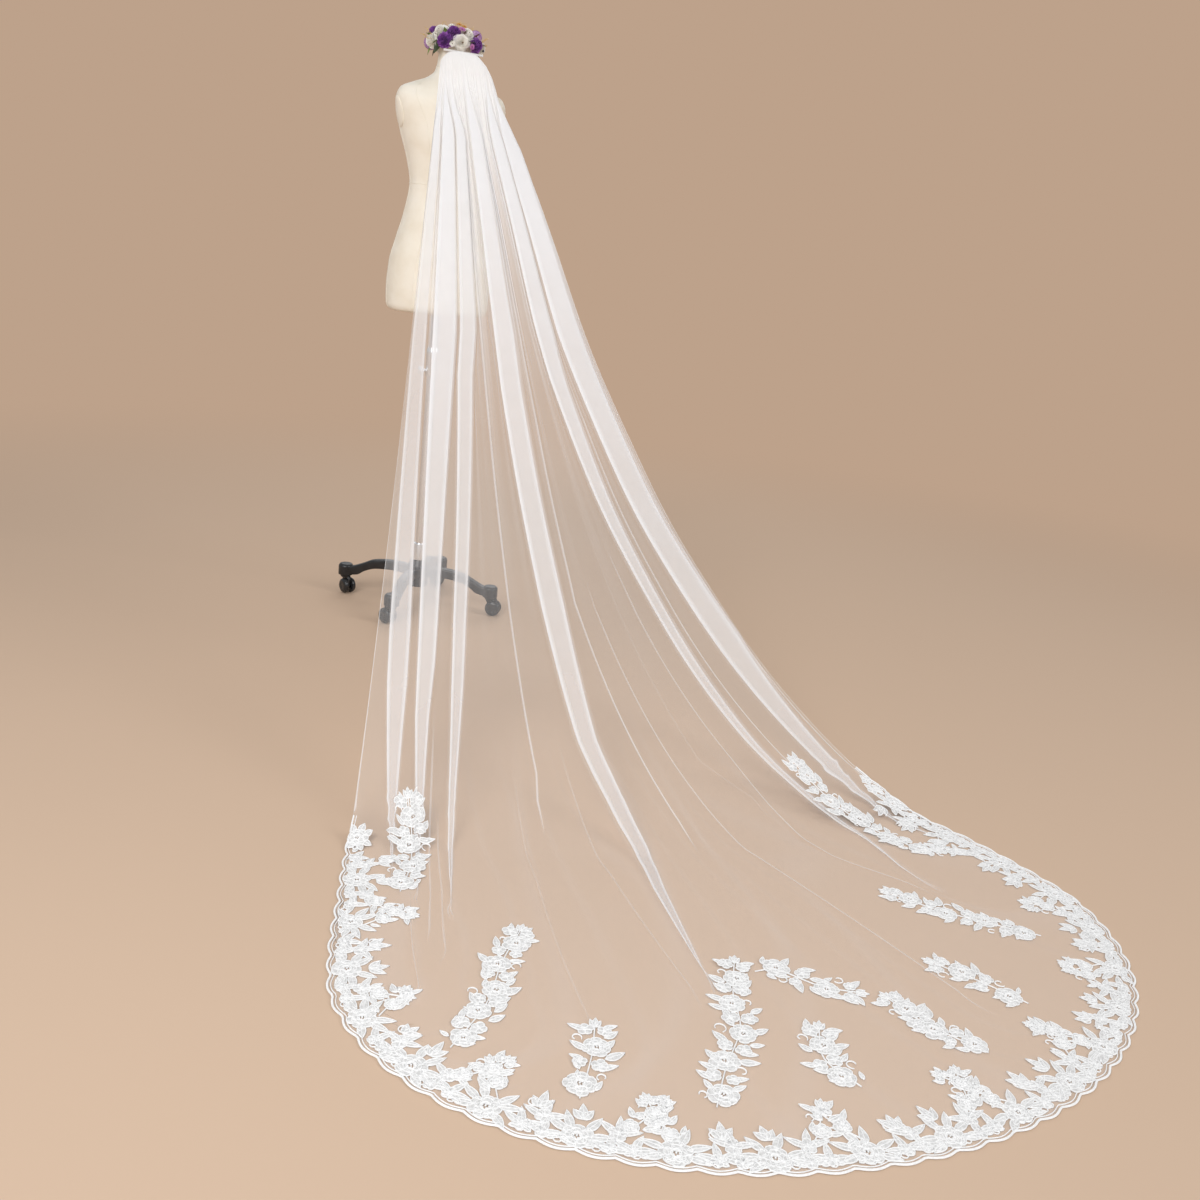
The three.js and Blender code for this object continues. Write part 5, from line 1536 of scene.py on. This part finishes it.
def leg_rows(turn):
    rows = []
    steps = 34
    c, s = math.cos(turn), math.sin(turn)
    for i in range(steps + 1):
        out = lerp(0.012, 0.236, i / steps)
        top = float(monotone([p[0] for p in LEG_TOP], [p[1] for p in LEG_TOP], out))
        under = float(monotone([p[0] for p in LEG_UNDER], [p[1] for p in LEG_UNDER], out))
        middle_z, tall = (top + under) / 2, (top - under) / 2
        ring = []
        for k in range(24):
            a, b = superellipse(TAU * k / 24, LEG_HALF_WIDTH, tall, LEG_SQUARENESS)
            ring.append((out * c - a * s, out * s + a * c, middle_z + b))
        rows.append(ring)
    return rows


def make_base():
    shape = Shape()
    shape.grid(lathe_rows(rounded_profile(HUB_CORNERS, 0.004), 56), closed=True)
    shape.grid(lathe_rows(rounded_profile(SLEEVE_CORNERS, 0.002), 56), closed=True, slot=1)
    boss = rounded_profile(BOSS_CORNERS, 0.003)
    for k in range(4):
        turn = STAR_TURN + TAU * k / 4
        shape.grid(leg_rows(turn), closed=True, caps=True)
        centre = (STAR_RADIUS * math.cos(turn), STAR_RADIUS * math.sin(turn))
        shape.grid(lathe_rows(boss, 40, centre), closed=True, caps=False)
    return piece("stand_star", shape, [ENAMEL, CHROME], "stand_black", replaces=("stand_base",))


def caster_place(k):
    turn = STAR_TURN + TAU * k / 4
    centre = (STAR_RADIUS * math.cos(turn), STAR_RADIUS * math.sin(turn))
    c, s = math.cos(CASTER_TURNS[k]), math.sin(CASTER_TURNS[k])

    def place(along, across, z):
        return (centre[0] + c * along - s * across, centre[1] + s * along + c * across, z)

    return place


def wheel_ring(place, radius, across, sides):
    """A ring about a caster's axle."""
    ring = []
    for i in range(sides):
        turn = TAU * i / sides
        along = -CASTER_TRAIL + radius * math.cos(turn)
        ring.append(place(along, across, WHEEL_RADIUS + radius * math.sin(turn)))
    return ring


def make_caster(k):
    """A twin-wheel caster: a hooded housing with its stem, and two wheels on an axle."""
    place = caster_place(k)
    number = k + 1
    shape = Shape()
    stem = lathe_rows(rounded_profile(STEM_CORNERS, 0.0012), 32)
    shape.grid([[place(*point) for point in row] for row in stem], closed=True, caps=True)
    outline = []
    for i in range(15):
        turn = math.radians(lerp(190, 370, i / 14))
        along = -CASTER_TRAIL + HOOD_ROUND * math.cos(turn)
        outline.append((along, WHEEL_RADIUS + HOOD_ROUND * math.sin(turn)))
    outline += [(0.011, 0.047), (0.0112, 0.0583), (-0.022, 0.0583), (-0.026, 0.047)]
    half = HOOD_HALF_WIDTH
    centre_along = sum(p[0] for p in outline) / len(outline)
    centre_z = sum(p[1] for p in outline) / len(outline)
    rows = []
    for across, size in ((-half, 0.94), (-half + 0.0006, 1.0), (half - 0.0006, 1.0), (half, 0.94)):
        rows.append([
            place(lerp(centre_along, p[0], size), across, lerp(centre_z, p[1], size)) for p in outline
        ])
    shape.grid(rows, closed=True, caps=True)
    piece(f"caster_{number}_hood", shape, [NYLON], "caster_black", body=f"caster_{number}",
          replaces=(f"caster_{number}_housing",))

    wheels = Shape()
    sides = 48
    for hand in (-1, 1):
        rows = []
        for radius, across in rounded_profile(WHEEL_CORNERS, 0.0018):
            rows.append(wheel_ring(place, radius, hand * across, sides))
        if hand > 0:
            rows = [list(reversed(row)) for row in rows]
        wheels.grid(rows, closed=True, caps=True)
    ends = (-AXLE_HALF_LENGTH, AXLE_HALF_LENGTH)
    wheels.grid([wheel_ring(place, AXLE_RADIUS, end, 20) for end in ends], closed=True, caps=True)
    piece(f"caster_{number}_twin_wheels", wheels, [NYLON], "caster_black", body=f"wheels_{number}",
          replaces=(f"caster_{number}_wheels",))


make_pole()
make_collar()
make_base()
for number in range(4):
    make_caster(number)

# Comb, gathering band and wreath

COMB_TEETH = 10
COMB_MARGIN = 0.003
RING_RADIUS = 0.053
RING_HEIGHT = 1.710


def make_comb():
    """A wire comb: a round back bar bound with wire, and ten rounded teeth."""
    low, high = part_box("veil_comb")
    left, right = low[0] - STAND[0], high[0] - STAND[0]
    back, front = low[1] - STAND[1], high[1] - STAND[1]
    z = (low[2] + high[2]) / 2
    shape = Shape()
    bar = [(lerp(left, right, i / 24), back + 0.002, z) for i in range(25)]
    tube(shape, bar, 0.0019, 12)
    turns = 60
    coil = []
    for i in range(turns * 6 + 1):
        t = i / (turns * 6)
        angle = TAU * turns * t
        coil.append((
            lerp(left + 0.002, right - 0.002, t),
            back + 0.002 + 0.0022 * math.cos(angle), z + 0.0022 * math.sin(angle),
        ))
    tube(shape, coil, 0.0003, 5)
    for k in range(COMB_TEETH):
        x = lerp(left + COMB_MARGIN, right - COMB_MARGIN, k / (COMB_TEETH - 1))
        tooth = [(x, lerp(back + 0.002, front, i / 16), z) for i in range(17)]
        tube(shape, tooth, lambda t: 0.0009 * (1 - 0.55 * max(0.0, (t - 0.85) / 0.15)), 8)
    piece("comb_wire", shape, [STEEL], "comb_steel", replaces=("veil_comb",))


BAND_SQUARENESS = 0.6


def make_gather_band():
    """The ribbon that the top of the net is gathered on, with its hand stitches."""
    low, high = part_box("veil_gather_band")
    left, right = low[0] - STAND[0], high[0] - STAND[0]
    y, z = (low[1] + high[1]) / 2 - STAND[1], (low[2] + high[2]) / 2
    deep, tall = (high[1] - low[1]) / 2, (high[2] - low[2]) / 2
    shape = Shape()
    rows = []
    for i in range(81):
        t = i / 80
        ripple = 1 + 0.10 * math.sin(t * TAU * 22)
        ring = []
        for k in range(16):
            a, b = superellipse(TAU * k / 16, deep, tall, BAND_SQUARENESS)
            ring.append((lerp(left, right, t), y + a * ripple, z + b))
        rows.append(ring)
    shape.grid(rows, closed=True, caps=True)
    for k in range(28):
        x = lerp(left + 0.003, right - 0.003, k / 27)
        stitch = [
            (x, y - deep, z - tall * 0.9), (x + 0.001, y - deep - 0.0008, z),
            (x + 0.002, y - deep, z + tall * 0.9),
        ]
        tube(shape, stitch, 0.0004, 5)
    piece("gather_ribbon", shape, [RIBBON], "tulle", replaces=("veil_gather_band",))


def flower_frame(axis):
    axis = Vector(axis).normalized()
    side = axis.cross(Vector((0, 0, 1)))
    side = side.normalized() if side.length > 0.05 else Vector((1, 0, 0))
    return axis, side, side.cross(axis)


def petal_sheet(
    shape, centre, frame3, turn, inner, outer, low, high, spread, curl=0.0, cup=0.0, cells=(6, 6), slot=0
):
    """One petal from a flower's heart to its rim, curled back at the rim."""
    axis, side, up = frame3
    rows = []
    for i in range(cells[0] + 1):
        t = i / cells[0]
        radial = lerp(inner, outer, t ** 0.85)
        rise = lerp(low, high, t) - curl * max(0.0, (t - 0.6) / 0.4) ** 2
        wide = spread * (0.45 + 0.55 * math.sin(math.pi * min(0.5, 0.10 + 0.5 * t)))
        row = []
        for k in range(cells[1] + 1):
            s = 2 * k / cells[1] - 1
            angle = turn + s * wide
            edge = 1 - 0.20 * s * s * t
            place = centre + (side * math.cos(angle) + up * math.sin(angle)) * radial * edge
            row.append(tuple(place + axis * (rise + cup * s * s * t)))
        rows.append(row)
    shape.grid(rows, slot=slot)


# A rose's rounds of petals, from the rim in: how many, and sizes in flower radii
ROSE_ROUNDS = (
    {"petals": 5, "outer": 1.00, "low": -0.50, "high": 0.08, "spread": 0.74, "curl": 0.20, "cup": 0.10},
    {"petals": 5, "outer": 0.86, "low": -0.45, "high": 0.30, "spread": 0.76, "curl": 0.16, "cup": 0.10},
    {"petals": 5, "outer": 0.66, "low": -0.40, "high": 0.50, "spread": 0.78, "curl": 0.10, "cup": 0.06},
    {"petals": 4, "outer": 0.46, "low": -0.30, "high": 0.60, "spread": 0.98, "curl": 0.04, "cup": 0.02},
    {"petals": 3, "outer": 0.28, "low": -0.20, "high": 0.62, "spread": 1.25, "curl": 0.0, "cup": 0.0},
)
VIOLET_ROUNDS = (
    {"petals": 13, "outer": 1.00, "low": -0.35, "high": -0.02, "spread": 0.30, "curl": 0.10, "cup": 0.16},
    {"petals": 13, "outer": 0.92, "low": -0.30, "high": 0.20, "spread": 0.30, "curl": 0.10, "cup": 0.16},
    {"petals": 12, "outer": 0.80, "low": -0.25, "high": 0.40, "spread": 0.32, "curl": 0.08, "cup": 0.14},
    {"petals": 11, "outer": 0.64, "low": -0.20, "high": 0.58, "spread": 0.34, "curl": 0.06, "cup": 0.12},
    {"petals": 9, "outer": 0.46, "low": -0.10, "high": 0.70, "spread": 0.40, "curl": 0.03, "cup": 0.08},
    {"petals": 7, "outer": 0.26, "low": 0.0, "high": 0.78, "spread": 0.50, "curl": 0.0, "cup": 0.04},
)


def layered_flower(shape, centre, axis, radius, rounds, rng):
    frame3 = flower_frame(axis)
    for layer in rounds:
        start = rng.uniform(0, TAU)
        for k in range(layer["petals"]):
            grow = radius * rng.uniform(0.92, 1.07)
            petal_sheet(
                shape, Vector(centre), frame3, start + TAU * k / layer["petals"] + rng.uniform(-0.06, 0.06),
                radius * 0.05, grow * layer["outer"], radius * layer["low"],
                grow * layer["high"], layer["spread"], radius * layer["curl"], radius * layer["cup"],
                cells=(6, 6) if layer["spread"] > 0.6 else (5, 3),
            )


def floret_flower(shape, centre, axis, radius, rng, florets=26):
    """A round head of small five-petalled florets."""
    axis = Vector(axis).normalized()
    main, side, up = flower_frame(axis)
    for k in range(florets):
        share = (k + 0.5) / florets
        lean = math.acos(1 - share * 1.25)
        turn = k * 2.39996 + rng.uniform(-0.15, 0.15)
        out = main * math.cos(lean) + (side * math.cos(turn) + up * math.sin(turn)) * math.sin(lean)
        heart = Vector(centre) + out * radius * 0.72
        frame3 = flower_frame(out)
        start = rng.uniform(0, TAU)
        for p in range(5):
            petal_sheet(
                shape, heart, frame3, start + TAU * p / 5, radius * 0.02, radius * 0.34,
                0.0, radius * 0.12, 0.60, radius * 0.05, 0.0, cells=(3, 3),
            )


def ball(shape, centre, radius, sides=12, slot=0):
    rows = []
    for i in range(1, sides // 2):
        lean = math.pi * i / (sides // 2)
        rows.append([
            (centre[0] + radius * math.sin(lean) * math.cos(TAU * k / sides),
             centre[1] + radius * math.sin(lean) * math.sin(TAU * k / sides),
             centre[2] + radius * math.cos(lean))
            for k in range(sides)
        ])
    shape.grid(rows, closed=True, caps=True, slot=slot)


def leaf_sheet(shape, base, direction, length, wide, rng, slot=0):
    """A leaf folded along its rib, with a toothed edge and a raised rib."""
    along = Vector(direction).normalized()
    side = along.cross(Vector((0, 0, 1)))
    side = side.normalized() if side.length > 0.05 else Vector((1, 0, 0))
    up = side.cross(along)
    twist = rng.uniform(-0.5, 0.5)
    side, up = side * math.cos(twist) + up * math.sin(twist), up * math.cos(twist) - side * math.sin(twist)
    rows, rib = [], []
    steps = 14
    for i in range(steps + 1):
        t = i / steps
        half = math.sin(math.pi * min(1.0, 0.03 + t * 0.96) ** 0.85) * wide / 2
        half *= 1 + 0.10 * math.sin(t * 40)
        drop = -0.16 * length * t * t
        centre = Vector(base) + along * (t * length) + up * drop
        rows.append([
            tuple(centre + side * (s * half) + up * (abs(s) * half * 0.35)) for s in (-1, -0.5, 0, 0.5, 1)
        ])
        rib.append(tuple(centre + up * 0.0003))
    shape.grid(rows, slot=slot)
    tube(shape, rib, lambda t: 0.0006 * (1 - 0.7 * t), 5, slot=slot)


def ring_point(turn_deg, out=0.0, up=0.0):
    """A place by the vine ring; the turn runs from the train's side toward +x."""
    turn = math.radians(turn_deg)
    radius = RING_RADIUS + out
    return Vector((radius * math.sin(turn), -radius * math.cos(turn), RING_HEIGHT + up))


def ring_direction(turn_deg, tilt_deg):
    turn, tilt = math.radians(turn_deg), math.radians(tilt_deg)
    return Vector((
        math.sin(turn) * math.cos(tilt), -math.cos(turn) * math.cos(tilt), math.sin(tilt)
    ))


# Leaves about the ring: turn and tilt in degrees, length in metres, material
WREATH_LEAVES = (
    (60, -52, 0.044, "dark"), (100, -46, 0.042, "dark"), (140, -52, 0.044, "brown"),
    (220, -48, 0.042, "dark"), (260, -52, 0.044, "light"), (300, -50, 0.044, "dark"),
    (0, 116, 0.046, "brown"), (80, 114, 0.048, "light"), (160, 118, 0.046, "dark"),
    (200, 114, 0.048, "light"), (280, 116, 0.046, "dark"), (-24, -4, 0.036, "dark"),
    (22, 6, 0.036, "dark"), (-42, 62, 0.034, "light"), (12, 70, 0.032, "brown"),
    (48, 58, 0.036, "brown"), (-66, -20, 0.034, "light"), (64, 8, 0.036, "brown"),
    (-12, -46, 0.026, "dark"), (30, -44, 0.026, "dark"), (120, 20, 0.036, "dark"),
    (180, 10, 0.036, "light"), (240, 16, 0.036, "dark"), (-90, 30, 0.034, "light"),
)
LEAF_KINDS = ("dark", "light", "brown")


def make_vine():
    """Three twisted strands of vine, with the wreath's leaves."""
    rng = random.Random(5)
    shape = Shape()
    for strand in (0, 1, 2):
        path = []
        for i in range(181):
            turn = TAU * i / 180
            wrap = turn * 14 + strand * TAU / 3
            reach = RING_RADIUS + 0.0026 * math.cos(wrap)
            path.append((
                reach * math.sin(turn), -reach * math.cos(turn), RING_HEIGHT + 0.0026 * math.sin(wrap)
            ))
        tube(shape, path, 0.0024, 8, slot=2)
    for turn, tilt, length, kind in WREATH_LEAVES:
        direction = ring_direction(turn, tilt)
        base = ring_point(turn) + direction * 0.004
        leaf_sheet(shape, base, direction, length, length * 0.46, rng, slot=LEAF_KINDS.index(kind))
    leaves = [LEAF_DARK, LEAF_LIGHT, LEAF_BROWN]
    piece("wreath_greens", shape, leaves, "greenery", replaces=("wreath_vine",))


# Sprigs that stand out of the flowers: turn, tilt, length
GOLD_SPRIGS = (
    (-96, 12, 0.040), (-82, 30, 0.044), (-74, -8, 0.036), (66, 24, 0.042), (78, 4, 0.040),
    (90, 34, 0.040), (130, 30, 0.038), (-140, 34, 0.038), (170, 30, 0.036),
)
WIRE_RADIUS = 0.0005
WIRE_LOOPS = ((-22, 0.0085), (-4, 0.0105), (14, 0.0085), (74, 0.0095), (100, 0.008), (-60, 0.008))
BERRIES = (
    (-98, 0.024, -0.004), (-92, 0.028, 0.004), (-104, 0.026, 0.003), (70, 0.030, -0.012),
    (150, 0.026, 0.0),
)


def make_gold_trim():
    """Gold sprigs, loops of fine wire and dark berries among the flowers."""
    rng = random.Random(8)
    shape = Shape()
    for turn, tilt, length in GOLD_SPRIGS:
        direction = ring_direction(turn, tilt)
        bend = Vector((rng.uniform(-0.3, 0.3), rng.uniform(-0.3, 0.3), 0.3))
        base = ring_point(turn, 0.004)

        def along(t):
            return base + direction * (length * t) + bend * (length * 0.35 * t * t)

        tube(shape, [tuple(along(t)) for t in (0, 0.25, 0.5, 0.75, 1)], WIRE_RADIUS, 6)
        for k in range(9):
            heart = along(0.35 + 0.65 * k / 8)
            side = Vector((rng.uniform(-1, 1), rng.uniform(-1, 1), rng.uniform(-0.4, 1))).normalized()
            ball(shape, heart + side * 0.0026, 0.0012, 8)
    for turn, size in WIRE_LOOPS:
        heart = ring_point(turn, -0.004, 0.040)
        across = Vector((math.cos(math.radians(turn)), math.sin(math.radians(turn)), 0))
        loop = []
        for i in range(25):
            angle = TAU * i / 24
            rise = Vector((0, 0, size * 1.15 * math.sin(angle)))
            loop.append(tuple(heart + across * (size * math.cos(angle)) + rise))
        tube(shape, loop, WIRE_RADIUS, 6)
        foot = heart - Vector((0, 0, size * 1.1))
        tube(shape, [tuple(ring_point(turn, -0.002)), tuple(foot)], WIRE_RADIUS, 6)
    for turn, out, up in BERRIES:
        ball(shape, ring_point(turn, out, up), 0.0036, 14, slot=1)
    piece("wreath_gold_trim", shape, [GOLD, BERRY], "greenery")


# Small blooms that fill the gaps: turn, how far out and up, radius, material
SMALL_BLOOMS = (
    (-6, 0.002, 0.043, 0.0085, 0), (10, 0.000, 0.040, 0.0085, 0), (0, 0.012, 0.030, 0.0120, 1),
    (58, 0.010, 0.032, 0.0100, 2), (70, 0.006, 0.026, 0.0095, 2), (-30, 0.000, 0.038, 0.0100, 2),
    (-70, 0.016, 0.014, 0.0090, 2), (150, 0.004, 0.036, 0.0090, 0), (-120, 0.006, 0.034, 0.0095, 1),
    (-160, 0.000, 0.038, 0.0090, 2), (110, 0.008, 0.034, 0.0095, 1), (-20, 0.030, -0.012, 0.0090, 2),
    (20, 0.032, -0.012, 0.0085, 1),
)


def make_small_blooms():
    rng = random.Random(21)
    shape = Shape()
    for turn, out, up, radius, kind in SMALL_BLOOMS:
        heart = ring_point(turn, out, up)
        axis = ring_direction(turn, 60 if up > 0.02 else -10)
        frame3 = flower_frame(axis)
        start = rng.uniform(0, TAU)
        for number, size in enumerate((1.0, 0.62)):
            for k in range(5):
                petal_sheet(
                    shape, heart, frame3, start + TAU * (k + number * 0.5) / 5, radius * 0.05,
                    radius * size, 0.0, radius * (0.25 + 0.25 * number), 0.62, radius * 0.1, 0.0,
                    cells=(5, 4), slot=kind,
                )
        ball(shape, heart + axis * (radius * 0.22), radius * 0.14, 10, slot=3)
    piece("wreath_small_blooms", shape, [PETAL_GOLD, PETAL_PINK, PETAL_WHITE, HEART], "petal_lilac")


FLOWERS = {
    "rose": {"slot": "petal_white", "size": 1.46},
    "violet": {"slot": "petal_violet", "size": 1.36},
    "lilac": {"slot": "petal_lilac", "size": 1.30},
}
FLOWER_NODES = (
    "rose_low_1", "violet_low_2", "rose_low_3", "lilac_low_4", "violet_low_5", "rose_low_6",
    "lilac_low_7", "rose_low_8", "violet_low_9", "rose_high_1", "lilac_high_2", "violet_high_3",
    "rose_high_4", "lilac_high_5", "rose_high_6", "violet_high_7", "rose_high_8", "violet_high_9",
)
FLOWER_RADIUS = 0.0176


def make_flowers():
    petals = {"rose": PETAL_WHITE, "violet": PETAL_VIOLET, "lilac": PETAL_LILAC}
    for number, node in enumerate(FLOWER_NODES):
        rng = random.Random(40 + number)
        kind = node.split("_")[0]
        low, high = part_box("wreath_" + node)
        centre = Vector([(a + b) / 2 for a, b in zip(low, high)]) - Vector(STAND)
        axis = centre - Vector((0, 0, RING_HEIGHT - 0.004))
        if "high" in node:
            axis = axis + Vector((0, 0, 0.02))
        radius = FLOWER_RADIUS * FLOWERS[kind]["size"] * rng.uniform(0.95, 1.05)
        heart = centre - axis.normalized() * radius * 0.10
        shape = Shape()
        if kind == "rose":
            layered_flower(shape, heart, axis, radius, ROSE_ROUNDS, rng)
            start = heart + axis.normalized() * radius * 0.40
            for _ in range(5):
                aside = Vector((rng.uniform(-1, 1), rng.uniform(-1, 1), rng.uniform(-1, 1))) * 0.0014
                ball(shape, start + aside, 0.0015, 8, slot=1)
        elif kind == "violet":
            layered_flower(shape, heart, axis, radius, VIOLET_ROUNDS, rng)
        else:
            floret_flower(shape, heart, axis, radius, rng)
        materials = [petals[kind], HEART] if kind == "rose" else [petals[kind]]
        piece("bloom_" + node, shape, materials, FLOWERS[kind]["slot"], replaces=("wreath_" + node,))


RIBBON = petal_material("gather_ribbon_cloth", (0.86, 0.85, 0.84), (0.93, 0.92, 0.91), 160.0)
PETAL_WHITE = petal_material("petals_white", (0.92, 0.90, 0.83), (0.98, 0.97, 0.95))
PETAL_VIOLET = petal_material("petals_violet", (0.15, 0.030, 0.26), (0.44, 0.15, 0.58))
PETAL_LILAC = petal_material("petals_lilac", (0.42, 0.18, 0.50), (0.72, 0.50, 0.74))
PETAL_PINK = petal_material("petals_pink", (0.45, 0.10, 0.42), (0.70, 0.30, 0.62))
PETAL_GOLD = petal_material("petals_gold", (0.60, 0.24, 0.03), (0.80, 0.48, 0.10))
HEART = petal_material("flower_hearts", (0.10, 0.04, 0.02), (0.24, 0.11, 0.05), 300.0)
LEAF_DARK = leaf_material("leaf_dark", (0.022, 0.035, 0.012), (0.055, 0.080, 0.025))
LEAF_LIGHT = leaf_material("leaf_light", (0.10, 0.17, 0.03), (0.24, 0.32, 0.08))
LEAF_BROWN = leaf_material("leaf_brown", (0.060, 0.026, 0.012), (0.16, 0.075, 0.030))
GOLD = leaf_material("gold_sprig", (0.48, 0.30, 0.06), (0.74, 0.54, 0.18))
BERRY = gloss_material("berry_skin", (0.020, 0.006, 0.022), 0.22, 120.0)

make_comb()
make_gather_band()
make_vine()
make_gold_trim()
make_small_blooms()
make_flowers()
